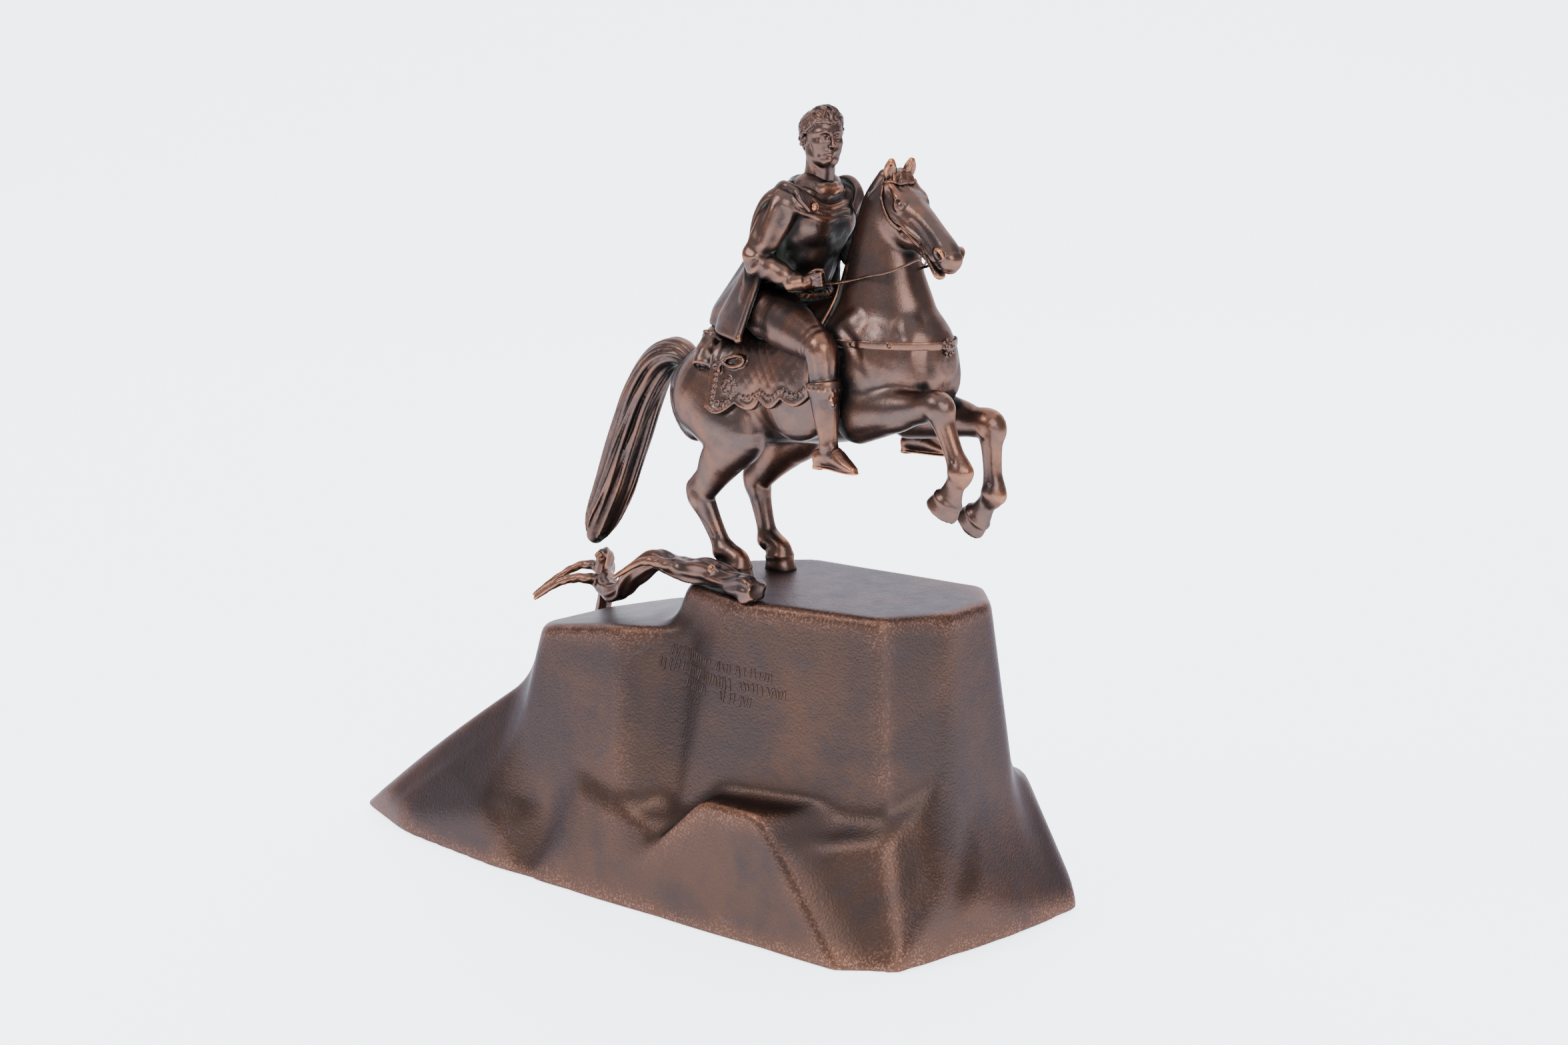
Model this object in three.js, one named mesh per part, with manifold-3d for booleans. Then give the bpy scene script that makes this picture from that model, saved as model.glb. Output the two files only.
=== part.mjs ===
// Equestrian statuette: a cloaked rider on a rearing horse, cast as one piece, on a plinth cut like a
// rock, with a fallen bough under the hind hooves. Millimetres, +Z up, the horse faces +X.
// The origin is the middle of the plinth's underside.
import * as THREE from "three";
import { mergeVertices } from "three/addons/utils/BufferGeometryUtils.js";
import Module from "manifold-3d";

const wasm = await Module();
wasm.setup();

// Driving dimensions
const plinthLength = 300; // along the horse
const plinthWidth = 117;
const plinthHeight = 114; // underside to the summit where the hooves stand
const groupHeight = 166.5; // soles of the hind hooves to the crown of the rider's head
const standX = 42; // where the hind hooves stand, from the plinth's middle
const standY = 0;
const hoofGap = 0.3; // between a sole and the rock
const boughGap = 0.3; // between the bough and what it touches
const clothThickness = 1.5; // saddle cloth over the horse's back
const cloakThickness = 2.2;
const boughGirth = 4.6; // radius of the bough at its thickest

const bronzeColour = new THREE.Color(0.23, 0.12, 0.08);
const bronze = () => new THREE.MeshStandardMaterial({ color: bronzeColour, roughness: 0.42, metalness: 0.9 });
const plinthBronze = () => new THREE.MeshStandardMaterial({ color: bronzeColour, roughness: 0.5, metalness: 0.85 });

// The horse and rider are drawn for a group of this height and follow groupHeight. The rock and the bough on
// it are drawn for a plinth of this length, width and height and follow the plinth's own.
const drawnHeight = 167;
const k = groupHeight / drawnHeight;
const drawnRock = [300, 117, 114];
const rockScale = [plinthLength / drawnRock[0], plinthWidth / drawnRock[1], plinthHeight / drawnRock[2]];

// Solids and geometries

function solidOf(geometry) {
  const bare = geometry.clone();
  bare.deleteAttribute("normal");
  bare.deleteAttribute("uv");
  const merged = mergeVertices(bare, 1e-4);
  const vertProperties = Float32Array.from(merged.attributes.position.array);
  const triVerts = Uint32Array.from(merged.index.array);
  const made = new wasm.Manifold(new wasm.Mesh({ numProp: 3, vertProperties, triVerts }));
  if (made.volume() > 0) return made;
  for (let i = 0; i < triVerts.length; i += 3) [triVerts[i + 1], triVerts[i + 2]] = [triVerts[i + 2], triVerts[i + 1]];
  return new wasm.Manifold(new wasm.Mesh({ numProp: 3, vertProperties, triVerts }));
}

function geometryOf(solid) {
  const mesh = solid.getMesh();
  const points = new Float32Array(mesh.numVert * 3);
  for (let i = 0; i < mesh.numVert; i++) {
    points.set(mesh.vertProperties.subarray(i * mesh.numProp, i * mesh.numProp + 3), i * 3);
  }
  const geometry = new THREE.BufferGeometry();
  geometry.setAttribute("position", new THREE.BufferAttribute(points, 3));
  geometry.setIndex(new THREE.BufferAttribute(mesh.triVerts, 1));
  geometry.computeVertexNormals();
  return geometry;
}

const union = (solids) => solids.reduce((all, next) => all.add(next));

// Lofted forms

// A row of numbers at t along a list of rows, on a Catmull-Rom curve through them.
function rowAt(rows, t) {
  const i = Math.min(Math.floor(t), rows.length - 2);
  const f = t - i;
  const row = (j) => rows[Math.max(0, Math.min(rows.length - 1, j))];
  return row(i).map((p1, c) => {
    const p0 = row(i - 1)[c];
    const p2 = row(i + 1)[c];
    const p3 = row(i + 2)[c];
    return p1 + 0.5 * f * (p2 - p0 + f * (2 * p0 - 5 * p1 + 4 * p2 - p3 + f * (3 * (p1 - p2) + p3 - p0)));
  });
}

// A closed form with an oval section carried along a path. A station is [x, y, z, half width, half depth];
// the width lies along `across`. Round ends are domes, flat ends are cut square.
function loft(stations, { sides = 8, steps = 2, across = [0, 1, 0], round = [true, true], grow = 0 } = {}) {
  const last = stations.length - 1;
  const count = last * steps;
  const rings = [];
  for (let n = 0; n <= count; n++) {
    const t = n / steps;
    const here = rowAt(stations, t);
    const before = rowAt(stations, Math.max(0, t - 0.02));
    const after = rowAt(stations, Math.min(last, t + 0.02));
    const along = new THREE.Vector3(...after.slice(0, 3)).sub(new THREE.Vector3(...before.slice(0, 3))).normalize();
    rings.push({ centre: new THREE.Vector3(...here.slice(0, 3)), along, width: here[3] + grow, depth: here[4] + grow });
  }
  const dome = (ring, sign) => {
    const centre = ring.centre.clone().addScaledVector(ring.along, sign * 0.72 * Math.min(ring.width, ring.depth));
    return { ...ring, centre, width: ring.width * 0.69, depth: ring.depth * 0.69 };
  };
  const first = rings[0];
  const final = rings[rings.length - 1];
  const tip = (ring, sign, rounded) =>
    ring.centre.clone().addScaledVector(ring.along, rounded ? sign * Math.min(ring.width, ring.depth) : 0);
  const startTip = tip(first, -1, round[0]);
  const endTip = tip(final, 1, round[1]);
  if (round[0]) rings.unshift(dome(first, -1));
  if (round[1]) rings.push(dome(final, 1));

  const points = [];
  for (const { centre, along, width, depth } of rings) {
    const side = new THREE.Vector3(...across).addScaledVector(along, -along.dot(new THREE.Vector3(...across))).normalize();
    const up = new THREE.Vector3().crossVectors(along, side);
    for (let s = 0; s < sides; s++) {
      const a = (s / sides) * 2 * Math.PI;
      const p = centre.clone().addScaledVector(side, width * Math.cos(a)).addScaledVector(up, depth * Math.sin(a));
      points.push(p.x, p.y, p.z);
    }
  }
  const startIndex = points.length / 3;
  points.push(startTip.x, startTip.y, startTip.z, endTip.x, endTip.y, endTip.z);
  const faces = [];
  for (let r = 0; r + 1 < rings.length; r++) {
    for (let s = 0; s < sides; s++) {
      const a = r * sides + s;
      const b = r * sides + ((s + 1) % sides);
      faces.push(a, b, b + sides, a, b + sides, a + sides);
    }
  }
  const lastRow = (rings.length - 1) * sides;
  for (let s = 0; s < sides; s++) {
    const next = (s + 1) % sides;
    faces.push(startIndex, next, s, startIndex + 1, lastRow + s, lastRow + next);
  }
  const geometry = new THREE.BufferGeometry();
  geometry.setAttribute("position", new THREE.Float32BufferAttribute(points, 3));
  geometry.setIndex(faces);
  return solidOf(geometry);
}

// Stations for a limb: joints is its chain of joints, and each girth is [place along the chain, half width, half depth].
function limb(joints, girths, options) {
  const stations = girths.map(([place, width, depth]) => {
    const i = Math.min(Math.floor(place), joints.length - 2);
    const share = place - i;
    return [0, 1, 2].map((c) => joints[i][c] * (1 - share) + joints[i + 1][c] * share).concat(width, depth);
  });
  return loft(stations, options);
}

// An oval lump of muscle or cloth: centre, half sizes along its own axes, and its turn about Y and then Z, in degrees.
function lump(centre, sizes, [pitch, yaw] = [0, 0], [columns, rows] = [10, 7]) {
  const geometry = new THREE.SphereGeometry(1, columns, rows).scale(...sizes);
  geometry.rotateY(THREE.MathUtils.degToRad(pitch)).rotateZ(THREE.MathUtils.degToRad(yaw));
  return solidOf(geometry.translate(...centre));
}

// Horse

const trunkStations = [
  [-22, 0, 65, 14, 15],
  [-14, 0, 65.5, 19.5, 18.5],
  [0, 0, 67.5, 20.5, 20],
  [15, 0, 70.5, 19.5, 21.5],
  [31, 0, 74, 21, 23.5],
  [48, 0, 78, 20.5, 24],
  [62, 0, 81.5, 18.5, 22],
  [72, 0, 82.5, 15, 17.5],
];

const neckStations = [
  [60, 0, 79, 15, 25],
  [60, 0, 90, 14.5, 22.5],
  [59.5, 0, 101, 12.8, 18.8],
  [59, 0, 112, 10.6, 14.8],
  [59, 0, 123, 8.8, 11.9],
  [61, 0, 134, 7, 9.8],
];

// The head is drawn along +X from the poll, then pitched down and turned to the right.
const headAt = [63, 0, 140.5];
const headPitch = 33;
const headTurn = -16;
const headStations = [
  [-1, 0, -1.5, 5.6, 7],
  [7, 0, -4.2, 7.2, 9.6],
  [14, 0, -4.2, 7.2, 9.6],
  [22, 0, -2.4, 5.4, 7.4],
  [30, 0, -1.6, 4.4, 6],
  [37, 0, -1.8, 4.7, 5.6],
  [42, 0, -2.2, 4.2, 4.6],
];
const jawStations = [
  [16, 0, -10, 3, 3],
  [26, 0, -8.6, 2.6, 2.4],
  [35, 0, -8.8, 2.8, 2],
];

function headPiece(solid) {
  return solid.rotate([0, headPitch, 0]).rotate([0, 0, headTurn]).translate(headAt);
}

function horseHead() {
  const ear = (side) => loft(
    [[-1, side * 3.6, 6, 1.8, 2.2], [-2.6, side * 4.6, 10.5, 1.7, 2.3], [-2.8, side * 4.8, 15, 0.5, 0.6]],
    { sides: 7, steps: 1, across: [1, 0, 0], round: [false, true] },
  );
  const forelock = loft([[-3, 0, 6, 3, 2.4], [3, 0, 7, 3.2, 2], [10, 0.6, 5.6, 1.6, 1]], { steps: 1 });
  return headPiece(union([loft(headStations, { sides: 12 }), loft(jawStations, { round: [false, true] }), ear(1), ear(-1), forelock]));
}

const foreGirths = [
  [0, 8.6, 10.5],
  [0.4, 7.4, 8],
  [0.75, 5, 5.4],
  [1, 5.2, 5.4],
  [1.3, 3.5, 3.9],
  [1.7, 3.1, 3.4],
  [2, 4, 4.5],
  [2.5, 3.2, 3.5],
  [3, 4.2, 4.6],
  [4, 5.2, 6],
];
const nearFore = [[58, -12.5, 65], [94, -14, 71], [103.5, -14, 50], [99, -14, 41], [95.5, -14, 36]];
const farFore = [[60, 12.5, 64], [94, 14, 61.5], [95.5, 14, 38.5], [89.5, 14, 30.5], [85, 14, 26.5]];

const hindGirths = [
  [0, 11, 14.5],
  [0.6, 10.5, 13.5],
  [1, 9, 11.5],
  [1.35, 7.4, 8.8],
  [1.75, 4.6, 6.2],
  [2, 4.2, 5.8],
  [2.3, 3.4, 4.2],
  [2.75, 3.1, 3.5],
  [3, 3.9, 4.4],
  [3.5, 3.3, 3.5],
  [4, 4.4, 4.8],
  [5, 5.4, 6.6],
];
const nearHind = [[-14, -11, 64], [4, -14, 53], [-15, -13.5, 29], [-4, -13, 9.5], [1.5, -13, 5], [3, -13, -2]];
const farHind = [[-12, 11, 64], [8, 14, 52], [-12, 13, 31], [-6, 12.5, 10], [-1.5, 12.5, 5], [0, 12.5, -2]];

function horseLegs() {
  const fore = (joints) => limb(joints, foreGirths, { round: [true, false] });
  const hind = (joints) => limb(joints, hindGirths, { round: [true, false] });
  const below = solidOf(new THREE.BoxGeometry(200, 100, 40).translate(0, 0, -20));
  const soled = union([hind(nearHind), hind(farHind)]).subtract(below);
  return union([fore(nearFore), fore(farFore), soled]);
}

// Mane along the crest, falling to the far side.
const maneStations = [
  [39, 1, 95, 2, 3],
  [40.5, 2.4, 104, 4, 4.4],
  [44, 3.6, 114, 5, 5],
  [47.5, 3.6, 125, 5, 4.8],
  [52, 2.6, 136, 4.4, 4.6],
  [59, 0.6, 145.5, 3.4, 3.2],
];

// A rolled blanket tied across the back behind the rider.
const rollStations = [
  [-6.5, -21, 76, 4, 4],
  [-7.2, -17, 81.5, 4.3, 4.3],
  [-8.2, -9, 86.6, 4.5, 4.5],
  [-8.5, 0, 88.2, 4.5, 4.5],
  [-8.2, 9, 86.6, 4.5, 4.5],
  [-7.2, 17, 81.5, 4.3, 4.3],
  [-6.5, 21, 76, 4, 4],
];

const tailStations = [
  [-30, 0, 73, 3.5, 3.5],
  [-38, 0, 76.5, 4.4, 4.6],
  [-48, 0, 72, 5.6, 6.2],
  [-57, 0, 59, 6.8, 7.8],
  [-64.5, 0, 42, 7.4, 8.6],
  [-72, 0, 24, 7.4, 8.6],
  [-79, 0, 10, 5.6, 6.6],
  [-82.5, 0, 4, 2.6, 3],
];

function horse() {
  return union([
    loft(trunkStations, { sides: 16 }),
    loft(neckStations, { sides: 12, round: [false, true] }),
    lump([-17, 10, 62], [12, 9, 13], [-20, 0]),
    lump([-17, -10, 62], [12, 9, 13], [-20, 0]),
    lump([70, 0, 85], [17, 14.5, 17], [10, 0], [12, 8]),
    lump([62, 10.5, 79], [14, 8.5, 18], [24, 0], [12, 8]),
    lump([62, -10.5, 79], [14, 8.5, 18], [24, 0], [12, 8]),
    horseHead(),
    horseLegs(),
    loft(tailStations),
    loft(maneStations, { steps: 1 }),
    loft(rollStations, { steps: 1, across: [1, 0, 0] }),
  ]);
}

// Rider

const torsoStations = [
  [14, 0, 97, 12.5, 11],
  [18, 0, 105, 12.4, 10.2],
  [22, 0, 114, 13, 10],
  [25, 0, 124, 15.4, 11],
  [27, 0, 132, 16.6, 10.2],
  [28, 0, 138, 11.5, 7.2],
];
// Skirt of the tunic over the hips and the tops of the thighs.
const skirtStations = [
  [15.5, 0, 103, 12.8, 11.4],
  [13.5, 0, 98.5, 15.4, 14.4],
  [13, 0, 93, 19, 17],
];
const riderNeck = [[28, 0, 137, 6.4, 6.4], [29, 0, 143.5, 5.2, 5.4], [30, 0, 150, 5, 5.4]];
const headCentre = [30.5, 0, 156.2];
const faceTurn = -24;

function riderHead() {
  const skull = lump([-0.8, 0, 1.8], [7.6, 6.3, 7.2], [0, 0], [12, 8]);
  const face = loft(
    [[2, 0, 6, 5.4, 5], [2.2, 0, 1, 5.6, 5.4], [2.6, 0, -4, 4.9, 4.9], [3.2, 0, -7.4, 3, 3.4]],
    { sides: 10, steps: 1 },
  );
  const nose = lump([7.9, 0, -0.8], [1.3, 1, 2.4], [-18, 0], [6, 5]);
  const hair = union([
    lump([-2, 0, 3.4], [7.7, 7.2, 6.2], [0, 0], [12, 8]),
    lump([-4.4, 0, -1.6], [4.2, 5.4, 5], [0, 0], [8, 6]),
    lump([4, 0, 6.6], [3.4, 5, 2.6], [14, 0], [8, 6]),
  ]);
  return union([skull, face, nose, hair]).rotate([0, 0, faceTurn]).translate(headCentre);
}

const armGirths = [[0, 6.2, 6.4], [0.5, 5.6, 5.6], [1, 4.3, 4.5], [1.4, 4.2, 4.2], [2, 2.9, 2.8], [3, 3.4, 3]];
const rightArm = [[27, -16, 134], [20.5, -23.5, 115.5], [34, -16.5, 108], [39, -10.5, 109]];
const leftArm = [[27.5, 16, 134], [22, 23.5, 116], [35, 16, 109], [40, 9, 111]];

const legGirths = [
  [0, 9, 10],
  [0.5, 8, 8.8],
  [0.85, 6.2, 6.6],
  [1.05, 5.6, 5.8],
  [1.3, 4.6, 5.2],
  [1.55, 4.4, 5.2],
  [1.9, 3, 3.3],
  [2, 3, 3.3],
];
const rightLeg = [[14, -11, 97], [51, -24, 88], [55.5, -25, 55]];
const leftLeg = [[14, 11, 97], [51, 24, 88], [52.5, 25, 54]];

function foot([x, y, z]) {
  const out = Math.sign(y);
  return loft(
    [[x - 4, y, z - 4, 2.8, 3], [x + 2, y, z - 3.4, 3.1, 3.8], [x + 9, y + out * 1.6, z - 5.8, 2.8, 2.2], [x + 15, y + out * 3, z - 7.4, 1.3, 0.9]],
    { steps: 1 },
  );
}

function riderLimbs() {
  const arm = (joints) => limb(joints, armGirths, { across: [0.3, 1, 0] });
  const leg = (joints) => limb(joints, legGirths);
  return union([arm(rightArm), arm(leftArm), leg(rightLeg), leg(leftLeg), foot(rightLeg[2]), foot(leftLeg[2])]);
}

// The cloak hangs from the shoulders over the horse's croup: a sheet with folds, thick enough to cast.
const cloakFolds = 5;
const cloakFoldDepth = 1.5;

function cloakPoint(u, v) {
  const spread = 17 + 8 * v;
  const y = (u - 0.5) * 2 * spread;
  const wrap = 1 - Math.pow(Math.abs(2 * u - 1), 2.4);
  const back = -5 - 40 * Math.pow(v, 1.15);
  const x = 27 + back * (0.3 + 0.7 * wrap) + cloakFoldDepth * v * Math.cos(2 * Math.PI * cloakFolds * u);
  const z = 138 - 48 * v + 3 * wrap * (1 - v) - 3 * (1 - wrap) * v;
  return new THREE.Vector3(x, y, z);
}

function sheet(point, thickness, across, down) {
  const normalAt = (u, v) => {
    const du = point(Math.min(1, u + 0.01), v).sub(point(Math.max(0, u - 0.01), v));
    const dv = point(u, Math.min(1, v + 0.01)).sub(point(u, Math.max(0, v - 0.01)));
    return du.cross(dv).normalize();
  };
  const points = [];
  for (const side of [-0.5, 0.5]) {
    for (let j = 0; j <= down; j++) {
      for (let i = 0; i <= across; i++) {
        const p = point(i / across, j / down).addScaledVector(normalAt(i / across, j / down), side * thickness);
        points.push(p.x, p.y, p.z);
      }
    }
  }
  const row = across + 1;
  const layer = row * (down + 1);
  const faces = [];
  const quad = (a, b, c, d) => faces.push(a, b, c, a, c, d);
  for (let j = 0; j < down; j++) {
    for (let i = 0; i < across; i++) {
      const a = j * row + i;
      quad(a, a + 1, a + row + 1, a + row);
      quad(layer + a, layer + a + row, layer + a + row + 1, layer + a + 1);
    }
  }
  for (let i = 0; i < across; i++) {
    quad(i + 1, i, layer + i, layer + i + 1);
    const b = down * row + i;
    quad(b, b + 1, layer + b + 1, layer + b);
  }
  for (let j = 0; j < down; j++) {
    const a = j * row;
    quad(a, a + row, layer + a + row, layer + a);
    const b = a + across;
    quad(b + row, b, layer + b, layer + b + row);
  }
  const geometry = new THREE.BufferGeometry();
  geometry.setAttribute("position", new THREE.Float32BufferAttribute(points, 3));
  geometry.setIndex(faces);
  return solidOf(geometry);
}

function rider() {
  return union([
    loft(torsoStations, { sides: 12 }),
    loft(skirtStations, { sides: 12, steps: 1, round: [false, false] }),
    loft(riderNeck, { sides: 10, steps: 1, round: [false, false] }),
    riderHead(),
    riderLimbs(),
    sheet(cloakPoint, cloakThickness / k, 20, 6),
  ]);
}

// Saddle cloth: the trunk grown by the cloth's thickness, kept where the cloth lies. Its lower edge is scalloped.
function saddleCloth() {
  const grown = loft(trunkStations, { sides: 16, grow: clothThickness / k });
  const front = 44;
  const rear = -3;
  const scallops = 4;
  const edge = [];
  for (let n = 0; n <= scallops * 4; n++) {
    const share = n / (scallops * 4);
    const dip = 3 * Math.abs(Math.sin(Math.PI * scallops * share));
    edge.push(new THREE.Vector2(rear + (front - rear) * share, 62 + 8 * share - dip));
  }
  const shape = new THREE.Shape([...edge, new THREE.Vector2(front + 2, 110), new THREE.Vector2(rear, 100)]);
  const area = new THREE.ExtrudeGeometry(shape, { depth: 70, bevelEnabled: false }).rotateX(Math.PI / 2).translate(0, 35, 0);
  return grown.intersect(solidOf(area));
}

function horseAndRider() {
  const drawn = union([horse(), rider(), saddleCloth()]);
  return drawn.scale([k, k, k]).translate([standX, standY, plinthHeight + hoofGap]);
}

// Plinth

// The rock is made of cut blocks grown together. A face is [direction it looks, reach, lean]: direction in
// degrees, 0 being +X and -90 the near side; reach from the block's middle at the foot; lean back from upright.
const blocks = [
  {
    middle: [62, 0],
    top: drawnRock[2],
    faces: [
      [6, 80, 4], [-30, 79, 6], [-80, 47, 4], [-108, 54, 9], [-150, 84, 22], [176, 104, 28], [138, 84, 20], [92, 47, 5], [44, 80, 8],
    ],
  },
  {
    middle: [-4, -4],
    top: 99,
    faces: [[0, 90, 5], [-58, 60, 8], [-98, 46, 5], [-138, 64, 14], [-172, 74, 22], [176, 541, 80], [146, 74, 20], [92, 50, 8]],
  },
  {
    middle: [-56, -6],
    top: 82,
    faces: [[0, 70, 5], [-72, 50, 17], [-104, 50, 24], [-150, 86, 49], [178, 94, 57], [152, 84, 50], [118, 66, 38], [90, 50, 22]],
  },
  {
    middle: [100, -18],
    top: 64,
    faces: [[12, 52, 17], [-24, 54, 20], [-68, 43, 16], [-104, 44, 14], [-146, 62, 36], [-84, 96, 60], [168, 90, 44], [90, 74, 20]],
  },
  {
    middle: [100, 24],
    top: 47,
    faces: [[8, 52, 25], [-34, 70, 34], [50, 54, 22], [96, 36, 10], [132, 60, 34], [180, 90, 50]],
  },
  {
    middle: [24, -16],
    top: 52,
    faces: [[-62, 46, 12], [-94, 41, 9], [-124, 56, 24], [-80, 100, 62], [-166, 110, 55], [10, 80, 34], [90, 60, 10]],
  },
  {
    middle: [-44, -20],
    top: 36,
    faces: [[-70, 34, 14], [-106, 34, 20], [-90, 66, 62], [-158, 70, 44], [30, 70, 38], [90, 60, 10]],
  },
  {
    middle: [0, 20],
    top: 40,
    faces: [[80, 38, 10], [106, 38, 14], [90, 88, 64], [150, 92, 46], [20, 120, 44], [-90, 60, 10], [180, 120, 56]],
  },
];

// The outline of the foot, in shares of the plinth's length and width.
const outline = [
  [-0.5, -0.2], [-0.34, -0.37], [-0.1, -0.46], [0.2, -0.48], [0.45, -0.5], [0.485, -0.44], [0.5, 0.1], [0.49, 0.44],
  [0.46, 0.5], [0.1, 0.48], [-0.22, 0.4], [-0.42, 0.16], [-0.5, -0.06],
].map(([x, y]) => [x * drawnRock[0], y * drawnRock[1]]);

const big = 2 * drawnRock[0];

// A box with one face through the foot of a block's face, used to cut the block there.
function cutter([mx, my], [direction, reach, lean]) {
  const box = new THREE.BoxGeometry(big, big, big).translate(big / 2, 0, 0);
  box.rotateY(-THREE.MathUtils.degToRad(lean)).translate(reach, 0, 0).rotateZ(THREE.MathUtils.degToRad(direction));
  return solidOf(box.translate(mx, my, 0));
}

function block({ middle, top, faces }) {
  const rough = solidOf(new THREE.BoxGeometry(big, big, top).translate(...middle, top / 2));
  return faces.reduce((stone, face) => stone.subtract(cutter(middle, face)), rough);
}

function plinth() {
  const foot = new THREE.Shape(outline.map(([x, y]) => new THREE.Vector2(x, y)));
  const column = solidOf(new THREE.ExtrudeGeometry(foot, { depth: drawnRock[2], bevelEnabled: false }));
  return union(blocks.map(block)).intersect(column).scale(rockScale);
}

// The bough lies over the shoulder of the rock, under the tail's end and past the near hind hoof.
const boughPath = [
  [70, -35, 117.5], [57, -30.5, 118], [44, -26.5, 119.2], [30, -26.5, 118], [17, -24.5, 119.5], [6, -25.5, 113],
  [-5, -22, 104.5], [-17, -16.5, 103], [-27, -8, 105], [-36, 1, 109.6], [-44, 9, 106.5], [-51, 16, 97], [-58, 22, 85], [-67, 26, 74],
];
const onRock = ([x, y, z, ...girth]) => [x * rockScale[0], y * rockScale[1], z * rockScale[2], ...girth];
const boughStations = boughPath.map((point, i) => {
  const share = i / (boughPath.length - 1);
  const girth = boughGirth * (1.12 - 0.52 * share) * (1 + 0.1 * Math.cos(2.6 * i));
  return [...onRock(point), girth, girth * 0.94];
});
const twigs = [
  [[33, -26.5, 118, 2.6, 2.6], [25, -32, 120.5, 2.1, 2.1], [17, -34, 120, 1.5, 1.5], [8, -38, 114, 0.9, 0.9]],
  [[-22, -12, 104, 2.4, 2.4], [-28, -20, 106, 1.9, 1.9], [-34, -25, 104, 1.4, 1.4], [-42, -29, 98, 0.9, 0.9]],
  [[-47, 12, 102, 2.2, 2.2], [-55, 8, 103, 1.7, 1.7], [-62, 1, 98, 1.3, 1.3], [-71, -2, 91, 0.8, 0.8]],
];

function bough(rock) {
  const wood = union([loft(boughStations, { sides: 6 }), ...twigs.map((twig) => loft(twig.map(onRock), { sides: 6, steps: 1 }))]);
  return wood.subtract(rock.translate([0, 0, boughGap]));
}

const piece = (name, solid, material) => {
  const mesh = new THREE.Mesh(geometryOf(solid), material);
  mesh.name = name;
  return mesh;
};

const statuette = new THREE.Group();
const rock = plinth();
statuette.add(piece("plinth", rock, plinthBronze()));
statuette.add(piece("bough", bough(rock), bronze()));
statuette.add(piece("horse_and_rider", horseAndRider(), bronze()));

export default statuette;
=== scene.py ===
import math
import time
import bpy
import numpy as np
import openvdb
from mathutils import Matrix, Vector


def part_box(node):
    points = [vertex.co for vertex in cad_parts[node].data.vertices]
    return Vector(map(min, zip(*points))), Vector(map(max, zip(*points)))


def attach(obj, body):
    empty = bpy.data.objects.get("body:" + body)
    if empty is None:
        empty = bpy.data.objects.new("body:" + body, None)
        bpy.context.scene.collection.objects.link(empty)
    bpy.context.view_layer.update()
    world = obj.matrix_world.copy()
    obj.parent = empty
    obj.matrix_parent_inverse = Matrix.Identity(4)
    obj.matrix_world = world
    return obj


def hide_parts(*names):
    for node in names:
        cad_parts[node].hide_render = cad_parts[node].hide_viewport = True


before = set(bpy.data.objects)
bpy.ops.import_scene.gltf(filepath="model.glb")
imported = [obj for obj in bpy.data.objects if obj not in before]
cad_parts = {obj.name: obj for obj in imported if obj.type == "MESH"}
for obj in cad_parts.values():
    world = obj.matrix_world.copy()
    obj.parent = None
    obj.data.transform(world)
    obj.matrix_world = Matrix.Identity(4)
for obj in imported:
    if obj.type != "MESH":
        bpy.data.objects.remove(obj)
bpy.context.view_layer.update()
startTime = time.time()


def report(stage):
    print(f"{stage}: {time.time() - startTime:.1f} s", flush=True)


# The horse and rider are drawn in millimetres with the soles of the hind hooves at height 0 and their
# middle at (0, 0), as a group 167.75 mm high that reaches 108.6 mm forward, and are fitted to the CAD body.
groupLow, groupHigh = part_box("horse_and_rider")
drawnHeight = 167.75
drawnReach = 108.6
unit = (groupHigh[2] - groupLow[2]) / drawnHeight
groupOrigin = np.array([groupHigh[0] - drawnReach * unit, 0.0, groupLow[2]])
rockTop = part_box("plinth")[1][2] * 1000  # mm


# The camera in metres and degrees. Its focal length is a multiple of the picture's width.
cameraSet = {"place": (0.8014, -0.8297, 0.3451), "turn": 42, "dip": 10.7, "focal": 4129 / 2000, "sensor": 36,
             "clip": (0.01, 20)}
cameraTurn, cameraDip = math.radians(cameraSet["turn"]), math.radians(cameraSet["dip"])
view = bpy.data.cameras.new("camera")
view.lens = cameraSet["sensor"] * cameraSet["focal"]
view.sensor_width = cameraSet["sensor"]
view.clip_start, view.clip_end = cameraSet["clip"]
camera = bpy.data.objects.new("camera", view)
camera.location = cameraSet["place"]
level = math.cos(cameraDip)
sight = Vector((-math.sin(cameraTurn) * level, math.cos(cameraTurn) * level, -math.sin(cameraDip)))
camera.rotation_euler = sight.to_track_quat("-Z", "Y").to_euler()
bpy.context.scene.collection.objects.link(camera)
bpy.context.scene.camera = camera

# Each lamp is a panel: [where it stands, what it faces, its width and height, watts], in metres.
lamps = {
    "key": [(-0.5, -1.5, 1.6), (0, 0, 0.12), (0.75, 0.75), 28],
    "fill": [(1.6, -1.05, 1.15), (0, 0, 0.12), (1.4, 1.3), 42],
    "back": [(-0.6, 1.6, 1.5), (0, 0, 0.12), (1.4, 1.0), 16],
    "top": [(0.1, 0.1, 2.1), (0, 0, 0), (2.2, 2.2), 27]}
for name, (place, aim, size, watts) in lamps.items():
    light = bpy.data.lights.new(name, "AREA")
    light.shape = "RECTANGLE"
    light.size, light.size_y = size
    light.energy = watts
    lamp = bpy.data.objects.new(name, light)
    lamp.location = place
    lamp.rotation_euler = (Vector(aim) - Vector(place)).to_track_quat("-Z", "Y").to_euler()
    bpy.context.scene.collection.objects.link(lamp)

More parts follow.
